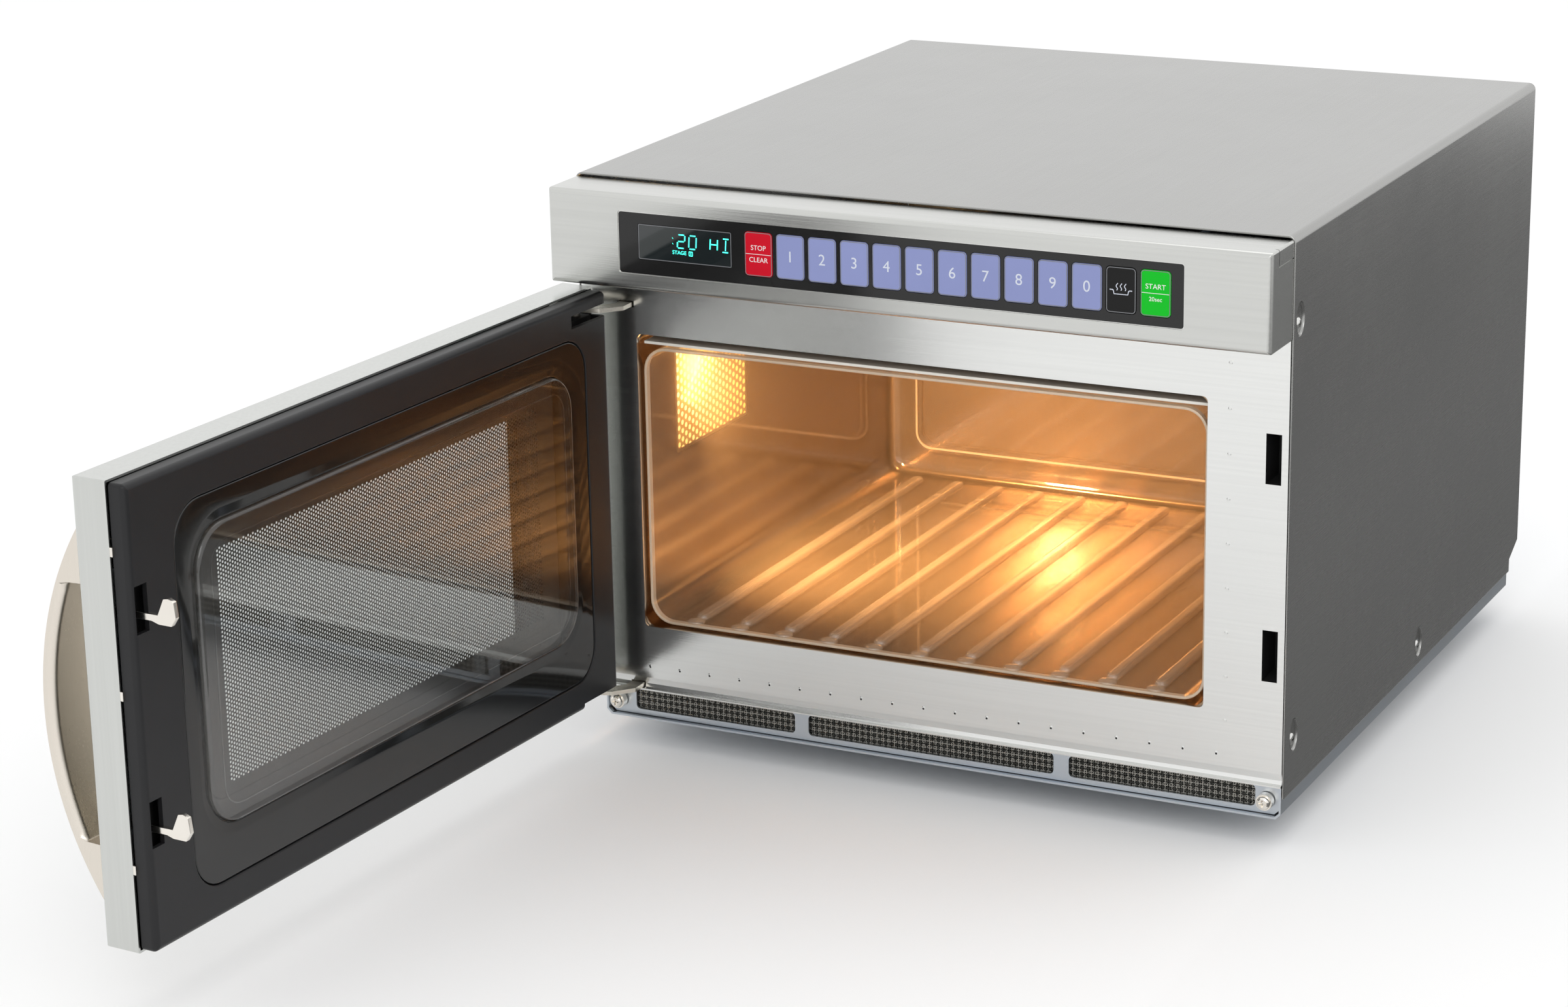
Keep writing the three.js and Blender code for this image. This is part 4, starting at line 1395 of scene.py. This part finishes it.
@dataclass
class ControlPanel:
    """The black fascia with its keys, legends and lit display."""

    proud: float = 0.05
    line: float = 0.38
    digit_height: float = 7.4
    digit_width: float = 4.4
    lean: float = 0.06
    segment_gap: float = 0.12
    stroke: float = 0.62
    signs: tuple[tuple[str, float], ...] = (("2", 24.0), ("0", 31.0), ("H", 44.0), ("I", 51.2))
    key_names: tuple[str, ...] = ("stop", "1", "2", "3", "4", "5", "6", "7", "8", "9", "0", "heat", "start")

    def build(self) -> None:
        """Makes and dresses every piece."""
        finish_node("control_panel", FASCIA_BLACK)
        x, y, z = CABINET.spans("control_panel")
        border = self._frame_line(grown(x, 0.3), grown(z, 0.3), y[0], 2.0)
        dressed("fascia_border", border, SCREW_STEEL, "oven")
        self._display()
        for name in self.key_names:
            self._key(name)
        finish_node("control_board", BOARD)

    def _frame_line(self, x: Span, z: Span, y: float, radius: float) -> Shape:
        """A thin printed line round a rounded rectangle.

        Args:
            x: The outer x span.
            z: The outer z span.
            y: The face that it is printed on.
            radius: Its corners' radius.

        Returns:
            The shape.
        """
        outer = Section(x, z, y, radius)
        inner = outer.inset(self.line)
        sections = [outer, outer.at(y - self.proud), inner.at(y - self.proud), inner]
        return Shape.lofted(sections, closed=True)

    def _display(self) -> None:
        """The display's window, its printed outline and what it shows."""
        x, y, z = CABINET.spans("display_module")
        glass = Section(x, z, y[1], 0.8)
        window = Shape.lofted([glass, *glass.rolled(0.2, y[0], 2)])
        dressed(
            "display_window", window, DISPLAY_GLASS, "oven", CABINET, ["display_module"],
        )  # fmt: skip
        line = self._frame_line(x, z, y[0], 0.8)
        dressed("display_outline", line, LINE_GREY, "oven")
        front = y[0] - self.proud
        low = middle(z) - 1.6
        high = low + self.digit_height
        strokes = [part for sign, at in self.signs for part in self._digit(sign, x[0] + at, (low, high))]
        dots = [
            Shape.stroke([(x[0] + 21.2, at), (x[0] + 21.3, at + 0.1)], 0.9)
            for at in (low + self.digit_height * 0.28, low + self.digit_height * 0.7)
        ]
        words = Shape.text("STAGE", 2.1).moved(x[0] + 25.2, 0, low - 2.7)
        box = self._frame_line((x[0] + 31.0, x[0] + 33.4), (low - 4.0, low - 1.4), 0.02, 0.3)
        one = Shape.text("1", 1.6).moved(x[0] + 32.2, 0, low - 2.7)
        lit = Shape().joined(*strokes, *dots, words, box, one).transformed(Matrix.Diagonal((1, 0.25, 1, 1)))
        dressed("display_digits", lit.moved(y=front), DIGITS, "oven")

    def _digit(self, sign: str, left: float, height: Span) -> list[Shape]:
        """A segmented sign, slanted a little.

        Args:
            sign: One of 2, 0, H and I.
            left: The x of its left edge.
            height: Its lowest and highest z.

        Returns:
            Its strokes.
        """
        low, high = height
        mid, wide = middle(height), self.digit_width
        places = {"a": (0, high), "b": (wide, high), "c": (0, mid), "d": (wide, mid), "e": (0, low)}
        places |= {"f": (wide, low), "t": (wide / 2, high), "m": (wide / 2, low)}
        runs = {"2": ("abdcef",), "0": ("abfea",), "H": ("ae", "bf", "cd"), "I": ("ab", "tm", "ef")}[sign]
        pairs = [pair for run in runs for pair in zip(run, run[1:])]
        return [self._segment(places[first], places[second], left, low) for first, second in pairs]

    def _segment(self, start: Span, end: Span, left: float, low: float) -> Shape:
        """One lit stroke, a little short of both its ends.

        Args:
            start: The first end, from the sign's left edge.
            end: The other end.
            left: The sign's left edge.
            low: The sign's foot.

        Returns:
            The stroke.
        """
        across = (end[0] - start[0]) * self.segment_gap
        up = (end[1] - start[1]) * self.segment_gap
        ends = [(start[0] + across, start[1] + up), (end[0] - across, end[1] - up)]
        return Shape.stroke([(left + u + (v - low) * self.lean, v) for u, v in ends], self.stroke)

    def _key(self, name: str) -> None:
        """A key's cap, its outline and its legend.

        Args:
            name: The key, as its node names it.
        """
        node, body = f"key_{name}", f"button_{name}"
        x, y, z = CABINET.spans(node)
        face = KeyFace[name.upper()] if name.upper() in KeyFace.__members__ else KeyFace.NUMBER
        finish, words = face.value
        cap = Section(x, z, y[1], 2.2)
        key = Shape.lofted([cap, *cap.rolled(0.35, y[0], 3)])
        dressed(f"{node}_cap", key, finish, body, replaces=[node])
        edge = self._frame_line(grown(x, -0.25), grown(z, -0.25), y[0], 2.0)
        legend = self._legend(name, words, middle(x), z)
        dressed(f"{node}_outline", edge, LINE_GREY, body)
        tone = LEGEND_WHITE if words else LEGEND
        dressed(f"{node}_legend", legend.moved(y=y[0]), tone, body)

    def _legend(self, name: str, words: tuple[str, ...], x: float, z: Span) -> Shape:
        """A key's digit, words or heat sign at y = 0.

        Args:
            name: The key.
            words: Its two lines of words, if it has them.
            x: The key's centre.
            z: The key's height.

        Returns:
            The shape.
        """
        centre = middle(z)
        if name == "heat":
            return self._heat_sign(x, centre - 0.6)
        if not words:
            return Shape.text(name, 6.2, 2 * self.proud).moved(x, 0, centre)
        upper, lower = words
        top = Shape.text(upper, 2.75, 2 * self.proud).moved(x, 0, centre + 3.4)
        bottom = Shape.text(lower, 2.75 if name == "stop" else 2.3, 2 * self.proud).moved(x, 0, centre - 3.2)
        rule = Shape.block(grown((x, x), 8.0), (-self.proud, self.proud), grown((centre, centre), 0.14))
        return top.joined(bottom, rule)

    def _heat_sign(self, x: float, z: float) -> Shape:
        """A shallow pan with three wisps of steam.

        Args:
            x: Its centre's x.
            z: Its centre's z.

        Returns:
            The shape.
        """
        side = [(6.2, 0.6), (4.6, 0.6), (4.2, 0.2), (3.8, -1.6)]
        pan = [(-u, v) for u, v in side] + side[::-1]
        strokes = [Shape.stroke([(x + u, z + v) for u, v in pan], 0.5)]
        for shift in (-2.3, 0.0, 2.3):
            wave = [(shift + 0.55 * math.sin(i * math.pi / 2), 0.4 + 0.75 * i) for i in range(6)]
            strokes.append(Shape.stroke([(x + u, z + v) for u, v in wave], 0.42, smooth=True))
        return Shape().joined(*strokes).transformed(Matrix.Diagonal((1, 0.3, 1, 1)))


@dataclass
class Cavity:
    """The lit oven space: steel box, lamp screen and bulb, ceiling plate and the clear ribbed liner."""

    corner: float = 8.0
    wall: float = 1.2
    box_roll: float = 4.0
    liner_corner: float = 14.0
    liner_wall: float = 2.0
    back_roll: float = 8.0
    rib_count: int = 11
    rib_first: float = 63.5
    rib_pitch: float = 28.1
    rib_width: float = 7.5
    panel_rise: float = 5.0
    lamp: tuple[float, float] = (66.0, 198.0)

    def build(self) -> None:
        """Makes and dresses every piece."""
        self._box()
        self._lamp()
        self._liner()
        finish_node("ceiling_plate", WHITE_PLASTIC)

    def _box(self) -> None:
        """The steel box, with the lamp screen's opening."""
        x, y, z = CABINET.spans("cavity_box")
        _, ly, lz = CABINET.spans("lamp_screen")
        outer = Section(x, z, y[0], self.corner)
        inner = outer.inset(self.wall)
        sections = [
            outer.at(y[1]),
            outer.at(y[0]),
            inner.at(y[0]),
            *inner.rolled(self.box_roll, y[1] - self.wall, 4, rear=True),
        ]
        shell = Shape.lofted(sections)
        shell.cut_by(Shape.block((x[0] - 2, x[0] + 4), grown(ly, 0.3), grown(lz, 0.3)))
        # The box's finish carries painted warm lamp light and painted shade in its colour.
        dressed("oven_space", shell, CAVITY_STEEL_PAINTED_WARM_SHADE, "oven", replaces=["cavity_box"])

    def _lamp(self) -> None:
        """The perforated screen with the lamp's light painted on it, the bulb and its socket."""
        x, y, z = CABINET.spans("lamp_screen")
        corner = CABINET.to_frame @ Vector((x[1], 0, 0))
        # Painted light: the screen's holes and the metal round the bulb glow with painted lamp light.
        screen = Perforated(
            "lamp_screen_painted_glow", (0.45, 0.40, 0.34), tuple(corner), (grown(y, -2), grown(z, -2)),
            pitch=5.0, hole=1.5, across=Axis.Y, upright=True, metallic=1.0, roughness=0.35,
            glow=(1.0, 0.82, 0.40), glow_at=self.lamp, glow_reach=24.0, strength=2.6,
        )  # fmt: skip
        plate = Shape.of_node("lamp_screen", CABINET).softened(0.2)
        dressed("lamp_plate", plate, screen, "oven", replaces=["lamp_screen"])
        finish_node("lamp_bulb", BULB)
        finish_node("lamp_socket", CERAMIC)

    def _liner(self) -> None:
        """The clear tray with its raised rear panel, rims, ribs and half-moons."""
        x, y, z = CABINET.spans("cavity_liner")
        outer = Section(x, z, y[0], self.liner_corner)
        inner = outer.inset(self.liner_wall)
        back = y[1] - self.liner_wall
        panel = Section(grown(x, -18.0), (z[0] + 18.0, z[1] - 7.0), back, 12.0)
        sections = [
            *outer.rolled(self.back_roll, y[1], 4, rear=True)[::-1],
            *outer.rolled(0.9, y[0], 3),
            *inner.rolled(-0.9, y[0], 3)[::-1],
            *inner.rolled(self.back_roll - 1, back, 5, rear=True),
            panel.inset(-2.5, back),
            *panel.rolled(self.panel_rise * 0.5, back - self.panel_rise, 3),
            panel.inset(8.0, back - self.panel_rise),
            panel.inset(8.5, back - self.panel_rise + 1.0),
        ]
        shell = Shape.lofted(sections)
        dressed(
            "liner", shell, LINER_CLEAR, "liner", replaces=["cavity_liner"], smooth=50,
        )  # fmt: skip
        lip, lip_in = outer.inset(0.3), outer.inset(self.liner_wall - 0.3)
        rim = [lip.at(y[0] + 0.4), lip.at(y[0] + 4.0), lip_in.at(y[0] + 4.0), lip_in.at(y[0] + 0.4)]
        crest = panel.inset(1.2)
        crest_in = crest.inset(1.2)
        near, far = back + 0.4, back + 1.2
        trace = [crest.at(near), crest.at(far), crest_in.at(far), crest_in.at(near)]
        rims = Shape.lofted(rim, closed=True).joined(Shape.lofted(trace, closed=True))
        dressed("liner_rims", rims, RIM_CLEAR, "liner", smooth=50)
        floor = z[0] + self.liner_wall
        ribs = Shape()
        moons = Shape()
        for i in range(self.rib_count):
            at = self.rib_first + i * self.rib_pitch
            ribs.joined(self._rib(at, floor, (y[0] + 11, y[1] - 12)))
            moons.joined(self._moon(at, floor, y[0]))
        dressed("liner_ribs", ribs, RIB_CLEAR, "liner", smooth=60)
        dressed("liner_moons", moons, RIB_CLEAR, "liner", smooth=60)

    def _rib(self, at: float, floor: float, run: Span) -> Shape:
        """A low rounded bar with round ends.

        Args:
            at: Its x.
            floor: The liner's floor.
            run: Its two ends along y.

        Returns:
            The shape.
        """
        half = self.rib_width / 2
        height = 2.4
        sections = [
            Section(grown((at, at), half), run, floor - 0.6, half - 0.2),
            Section(grown((at, at), half), run, floor + height * 0.25, half - 0.2),
            Section(grown((at, at), half * 0.8), grown(run, -half * 0.3), floor + height * 0.8, half * 0.7),
            Section(grown((at, at), half * 0.45), grown(run, -half * 0.7), floor + height, half * 0.4),
        ]
        upright = Matrix(((1, 0, 0, 0), (0, 0, 1, 0), (0, 1, 0, 0), (0, 0, 0, 1)))
        return Shape.lofted(sections).transformed(upright).tidied()

    def _moon(self, at: float, floor: float, front: float) -> Shape:
        """The half-moon step in the liner's front lip below a rib.

        Args:
            at: Its x.
            floor: The liner's floor.
            front: The liner's front edge.

        Returns:
            The shape.
        """
        dome = [(0, -0.5), (5.2, -0.5), (5.2, 0.4), (4.4, 1.1), (2.4, 1.6), (0, 1.8)]
        half = Shape.turned(dome, 28).transformed(Matrix.Diagonal((1, 0.9, 1, 1)))
        return half.moved(at, front + 5.6, floor)


@dataclass
class Door:
    """The door as it comes apart: skin, glass, choke frame, screen, inner cover, window, handle and hooks."""

    skin_roll: float = 1.6
    cover_roll: float = 3.4
    seam: Section = field(default_factory=lambda: Section((25, 386), (38, 238), -2.5, 20))
    pane: Section = field(default_factory=lambda: Section((41, 371), (66, 222), -2.8, 22))
    view: tuple[Span, Span] = ((62.0, 344.0), (82.0, 204.0))
    handle_bar: float = 6.4
    grip: Span = (70.0, 203.0)
    grip_wall: float = 4.0
    rim_roll: float = 4.2
    tab_heights: tuple[float, ...] = (224.0, 152.0, 63.0)
    hinge_slot: tuple[Span, Span] = ((-2.0, 38.0), (-27.5, 0.5))
    hinge_slot_heights: tuple[Span, ...] = ((243.6, 251.0), (18.0, 25.0))
    hook_slot: tuple[Span, Span] = ((408.0, 417.0), (-12.0, 2.0))
    hook_slot_reach: Span = (-6.0, 18.0)
    pane_back: float = -6.4
    pane_face: float = -1.2
    step_inset: float = 9.0
    step_line: tuple[float, float] = (0.7, 0.15)

    def build(self) -> None:
        """Makes and dresses every piece."""
        self._skin()
        self._inner_cover()
        self._window()
        self._screen()
        self._handle()
        self._latch()
        finish_node("door_outer_glass", OUTER_GLASS)
        finish_node("door_frame", DARK_GAP)

    def _hinge_slots(self) -> list[Shape]:
        """Cutters for the slots that the hinge arms pass through."""
        return [Shape.block(*self.hinge_slot, z) for z in self.hinge_slot_heights]

    def _skin(self) -> None:
        """The steel shell with its window opening, and the tabs at its free edge."""
        x, y, z = DOOR.spans("door_skin")
        gx, _, gz = DOOR.spans("door_outer_glass")
        outer = Section(x, z, y[1], 0.8)
        window = Section(grown(gx, -10), grown(gz, -10), y[0], 10)
        inner = outer.inset(1.2)
        sections = [
            outer.at(y[1]),
            *outer.rolled(self.skin_roll, y[0], 4),
            *window.rolled(-0.8, y[0], 3)[::-1],
            window.at(y[0] + 1.2),
            inner.at(y[0] + 1.2),
            inner.at(y[1]),
        ]
        shell = Shape.lofted(sections, closed=True).cut_by(*self._hinge_slots())
        dressed("door_shell", shell, DOOR_STEEL, "door", DOOR, ["door_skin"])
        tab_x, tab_y = (x[1] - 1.6, x[1] - 0.05), (y[1] - 0.4, y[1] + 1.6)
        tabs = [Shape.block(tab_x, tab_y, grown((at, at), 2.4)).softened(0.3) for at in self.tab_heights]
        dressed("door_shell_tabs", Shape().joined(*tabs), NICKEL, "door", DOOR)

    def _inner_cover(self) -> None:
        """The black inner cover with its hook and hinge slots."""
        x, y, z = DOOR.spans("door_inner_cover")
        hooks = [DOOR.spans(f"latch_hook_{level}") for level in ("lower", "upper")]
        outer = Section(x, z, y[0], 2.2)
        inner = outer.inset(2.0)
        sections = [
            outer.at(y[0]),
            *outer.rolled(self.cover_roll, y[1], 5, rear=True),
            *self.seam.rolled(-0.7, y[1], 3, rear=True)[::-1],
            self.seam.at(y[1] - 3.2),
            self.seam.inset(-1.2, y[1] - 3.2),
            inner.at(y[1] - 2.4),
            inner.at(y[0]),
        ]
        shell = Shape.lofted(sections, closed=True)
        below, above = self.hook_slot_reach
        slots = [Shape.block(*self.hook_slot, (low + below, low + above)) for _, _, (low, _) in hooks]
        shell.cut_by(*slots, *self._hinge_slots())
        dressed("door_cover", shell, BLACK_COVER, "door", DOOR, ["door_inner_cover"])

    def _window(self) -> None:
        """The gloss band, the raised pane and the fine step round the pane."""
        rim = self.seam.inset(0.45)
        opening = self.pane
        ring = [
            rim.at(-4.6),
            *rim.rolled(0.9, -2.9, 3, rear=True),
            opening.inset(-6.5, -2.9),
            opening.inset(-5.0, -3.5),
            opening.inset(-1.2, -3.6),
            opening.at(-4.1),
            opening.at(-4.7),
        ]
        band = Shape.lofted(ring, closed=True)
        dressed(
            "window_band", band, BLACK_GLOSS, "door", DOOR, ["door_window_frame"], smooth=50,
        )  # fmt: skip
        plate = opening.inset(0.3)
        raised = Shape.lofted([plate.at(self.pane_back), *plate.rolled(2.2, self.pane_face, 5, rear=True)])
        dressed(
            "window_pane", raised, PANE_CLEAR, "door", DOOR, ["door_window_glass"], smooth=50,
        )  # fmt: skip
        width, rise = self.step_line
        face, crest = self.pane_face, self.pane_face + rise
        step = plate.inset(self.step_inset)
        outline = [step.at(face), step.at(crest), step.inset(width, crest), step.inset(width, face)]
        line = Shape.lofted(outline, closed=True)
        dressed("pane_step", line, PANE_CLEAR, "door", DOOR)

    def _screen(self) -> None:
        """The perforated sheet behind the pane."""
        x, y, z = DOOR.spans("door_screen")
        origin = DOOR.to_frame @ Vector((0, 0, 0))
        finish = Perforated(
            "door_screen_paint", (0.022, 0.021, 0.020), tuple(origin), self.view,
            pitch=2.2, hole=0.70, turn=-DOOR_TURN, upright=True, roughness=0.35,
        )  # fmt: skip
        sheet = Shape.block(x, grown((middle(y), middle(y)), 0.05), z)
        dressed("perforated_screen", sheet, finish, "door", DOOR, ["door_screen"])

    def _handle(self) -> None:
        """The bow handle with its finger pocket."""
        x, _, z = DOOR.spans("door_handle")
        pocket_x = (x[0] + self.grip_wall, x[1] + 5)
        bow = self._bow(x, z)
        handle = bow.cut_by(self._bow(pocket_x, self.grip, self.handle_bar, cutter=True))
        self._round_rim(handle, x[1])
        handle.softened(1.5, 4, 50)
        dressed("handle", handle, CHAMPAGNE, "door", DOOR, ["door_handle"], smooth=30)

    @staticmethod
    def _arc() -> tuple[float, float, float]:
        """The circle that the handle's front follows.

        Returns:
            Its radius, and its centre's y and z.
        """
        _, y, z = DOOR.spans("door_handle")
        half = (z[1] - z[0]) / 2
        bulge = y[1] - y[0]
        radius = (half * half + bulge * bulge) / (2 * bulge)
        return radius, y[0] + radius, middle(z)

    def _round_rim(self, handle: Shape, side: float) -> None:
        """Rolls the pocket's rim over generously, as the fingers feel it.

        Args:
            handle: The handle with its pocket cut.
            side: The x of the face that the pocket opens in.
        """
        radius, centre_y, centre_z = self._arc()
        centre = Vector((side, centre_y, centre_z))
        back = DOOR.spans("door_handle")[1][1]
        reach = radius - self.handle_bar + 0.2
        rim = [
            e
            for e in handle.bm.edges
            if all(abs(v.co.x - side) < 0.01 and (v.co - centre).length < reach for v in e.verts)
            and all(v.co.y < back - 0.5 for v in e.verts)
            and e.calc_face_angle(0) > 0.8
        ]
        bmesh.ops.bevel(
            handle.bm, geom=rim, offset=self.rim_roll, offset_type="OFFSET", segments=6, profile=0.5,
            affect="EDGES", clamp_overlap=True, material=-1,
        )  # fmt: skip

    def _bow(self, x: Span, z: Span, inset: float = 0.0, cutter: bool = False) -> Shape:
        """A bar whose front is an arc of the handle's circle, drawn in by an inset.

        Args:
            x: Its width.
            z: Its height.
            inset: How far inside the handle's own arc this one lies.
            cutter: Whether it runs on past the handle's back, as the pocket's cutter does.

        Returns:
            The closed bar.
        """
        radius, centre_y, centre_z = self._arc()
        reach = radius - inset
        start, end = (math.asin((at - centre_z) / reach) for at in z)
        made = Shape()
        foot = (x[0], centre_y - reach * math.cos(start), centre_z + reach * math.sin(start))
        first = made.bm.verts.new(foot)
        bmesh.ops.spin(
            made.bm, geom=[first], cent=(x[0], centre_y, centre_z), axis=(-1, 0, 0), angle=end - start,
            steps=48,
        )  # fmt: skip
        made.bm.verts.ensure_lookup_table()
        last = made.bm.verts[-1]
        if cutter:
            back = DOOR.spans("door_handle")[1][1] + 2.0
            corners = [made.bm.verts.new((x[0], back, at)) for at in (z[1], z[0])]
            for pair in ((last, corners[0]), corners, (corners[1], first)):
                made.bm.edges.new(pair)
        else:
            made.bm.edges.new((last, first))
        side = bmesh.ops.contextual_create(made.bm, geom=made.bm.edges[:])["faces"]
        out = bmesh.ops.extrude_face_region(made.bm, geom=side)["geom"]
        moved = [g for g in out if isinstance(g, bmesh.types.BMVert)]
        bmesh.ops.translate(made.bm, vec=(x[1] - x[0], 0, 0), verts=moved)
        return made.tidied()

    def _latch(self) -> None:
        """The two hooks, and the bar and spring inside the door."""
        for level in ("lower", "upper"):
            node = f"latch_hook_{level}"
            hook = Shape.of_node(node, DOOR).softened(0.45, 3)
            dressed(f"{node}_blade", hook, NICKEL, "latch", DOOR, [node])
        finish_node("latch_bar", ZINC)
        finish_node("latch_spring", NICKEL)


@dataclass
class Workings:
    """The parts behind the panels, which keep their CAD shapes."""

    finishes: tuple[tuple[str, Finish], ...] = (
        ("stirrer", CAVITY_STEEL_PAINTED_WARM_SHADE),
        ("stirrer_motor", WHITE_PLASTIC),
        ("waveguide", ZINC),
        ("magnetron", ZINC),
        ("power_transformer", IRON),
        ("capacitor", ZINC),
        ("blower_housing", BLACK_PLASTIC),
        ("blower_wheel", BLACK_PLASTIC),
        ("blower_motor", ZINC),
        ("latch_receiver", BLACK_PLASTIC),
    )

    def build(self) -> None:
        """Dresses every piece."""
        for node, finish in self.finishes:
            finish_node(node, finish)


# ---------------------------------------------------------------------------
# Studio
# ---------------------------------------------------------------------------


@dataclass
class Softbox:
    """A rectangular studio light aimed at the oven."""

    name: str
    place: tuple[float, float, float]
    size: tuple[float, float]
    power: float
    colour: Colour = (1.0, 1.0, 1.0)

    def build(self, target: Vector) -> None:
        """Makes the light.

        Args:
            target: The point that it faces.
        """
        data = bpy.data.lights.new(self.name, "AREA")
        data.shape = "RECTANGLE"
        data.size, data.size_y = self.size
        data.energy = self.power
        data.color = self.colour
        light = bpy.data.objects.new(self.name, data)
        light.location = self.place
        light.rotation_mode = "QUATERNION"
        light.rotation_quaternion = (target - light.location).to_track_quat("-Z", "Y")
        bpy.context.scene.collection.objects.link(light)


@dataclass
class Studio:
    """A pale floor, an even sky, soft boxes, the oven's own lamp, and the camera."""

    eye: tuple[float, float, float] = (1036.8, -1801.9, 763.9)
    azimuth: float = 26.80
    elevation: float = 17.13
    roll: float = -1.08
    lens: float = 87.03
    sky: Colour = (1.0, 1.0, 1.0)
    sky_strength: float = 1.08
    floor_colour: Colour = (0.90, 0.90, 0.90)
    boxes: tuple[Softbox, ...] = (
        Softbox("key_box", (0.9, -2.3, 1.6), (1.4, 1.2), 9.0),
        Softbox("top_box", (0.2, 0.9, 2.6), (2.0, 1.6), 8.0),
    )
    floor_span: float = 24.0
    card_middle: tuple[float, float] = (0.93, 0.6)
    card_size: tuple[float, float] = (1.36, 2.8)
    card_lift: float = 0.002
    card_tones: tuple[tuple[float, float], ...] = ((0.0, 0.20), (0.2, 0.26), (0.35, 0.20), (0.8, 0.26))
    lamp_size: tuple[float, float] = (0.05, 0.04)
    lamp_power: float = 1.7
    lamp_spread: float = 115.0
    lamp_colour: Colour = (1.0, 0.58, 0.24)

    def build(self) -> None:
        """Makes the camera, floor, sky and lights."""
        bpy.context.scene.view_settings.view_transform = "Standard"
        self._camera()
        self._floor()
        self._side_card()
        self._sky()
        for box in self.boxes:
            box.build(Vector((0, 0, 0.15)))
        self._oven_lamp()

    def _camera(self) -> None:
        """The camera, by its place, heading, height and roll."""
        data = bpy.data.cameras.new("camera")
        data.lens = self.lens
        data.sensor_width = 36.0
        data.clip_end = 50.0
        camera = bpy.data.objects.new("camera", data)
        camera.location = CABINET.to_frame @ Vector(self.eye)
        a, e = math.radians(self.azimuth), math.radians(self.elevation)
        back = Vector((math.sin(a) * math.cos(e), -math.cos(a) * math.cos(e), math.sin(e)))
        lean = Quaternion((0, 0, 1), math.radians(self.roll))
        camera.rotation_mode = "QUATERNION"
        camera.rotation_quaternion = (-back).to_track_quat("-Z", "Y") @ lean
        bpy.context.scene.collection.objects.link(camera)
        bpy.context.scene.camera = camera

    @staticmethod
    def _sheet(
        name: str, place: Vector, size: tuple[float, float], paper: bpy.types.Material,
    ) -> bpy.types.Object:  # fmt: skip
        """A flat level sheet that belongs to the studio.

        Args:
            name: Its name.
            place: Its centre, in metres.
            size: Its length along x and y, in metres.
            paper: Its material.

        Returns:
            The sheet.
        """
        mesh = bpy.data.meshes.new(name)
        bm = bmesh.new()
        spread = Matrix.Translation(place) @ Matrix.Diagonal((*size, 1, 1))
        bmesh.ops.create_grid(bm, x_segments=1, y_segments=1, size=0.5, matrix=spread)
        bm.to_mesh(mesh)
        bm.free()
        mesh.materials.append(paper)
        made = bpy.data.objects.new(name, mesh)
        bpy.context.scene.collection.objects.link(made)
        return made

    def _floor(self) -> None:
        """The pale paper that the oven stands on."""
        made = Shader("floor_paper")
        surface = made.principled(Base_Color=self.floor_colour, Roughness=0.9)
        size = (self.floor_span, self.floor_span)
        self._sheet("floor", Vector((0, 0, CAD_BOX[0].z)), size, made.finish(surface))

    def _side_card(self) -> None:
        """A dark card laid at the oven's right, seen only in reflections, which gives that side its depth."""
        made = Shader("side_card_paper")
        away, _, _ = made.split(made.place(origin=Vector((0.24, 0, 0))))
        shade = made.ramp(away, [(place, (tone,) * 3) for place, tone in self.card_tones])
        paper = made.finish(made.node("ShaderNodeEmission", None, {0: shade, 1: 1.0}))
        centre = Vector((*self.card_middle, CAD_BOX[0].z + self.card_lift))
        card = self._sheet("side_card", centre, self.card_size, paper)
        for sight in ("visible_camera", "visible_diffuse", "visible_shadow", "visible_transmission"):
            setattr(card, sight, False)

    def _sky(self) -> None:
        """The even white sky."""
        world = bpy.data.worlds.new("sky")
        bpy.context.scene.world = world
        world.use_nodes = True
        background = world.node_tree.nodes["Background"]
        background.inputs[0].default_value = (*self.sky, 1)
        background.inputs[1].default_value = self.sky_strength

    def _oven_lamp(self) -> None:
        """The warm light that the cavity's bulb throws through its screen."""
        x, y, z = CABINET.spans("lamp_screen")
        data = bpy.data.lights.new("oven_lamp", "AREA")
        data.shape = "RECTANGLE"
        data.size, data.size_y = self.lamp_size
        data.energy = self.lamp_power
        data.spread = math.radians(self.lamp_spread)
        data.color = self.lamp_colour
        light = bpy.data.objects.new("oven_lamp", data)
        light.location = CABINET.to_frame @ Vector((x[1] + 4.0, y[0] + 26.0, z[1] - 18.0))
        light.rotation_mode = "QUATERNION"
        light.rotation_quaternion = Vector((0.7, 1.0, -0.8)).to_track_quat("-Z", "Y")
        light.visible_camera = False
        bpy.context.scene.collection.objects.link(light)


def main() -> None:
    """Builds the studio and every sub-assembly in order."""
    logging.basicConfig(level=logging.INFO, format="%(message)s")
    for assembly in (Studio(), Cabinet(), AirFilter(), ControlPanel(), Cavity(), Door(), Workings()):
        LOG.info("-- %s", type(assembly).__name__)
        assembly.build()


if __name__ == "__main__":
    main()
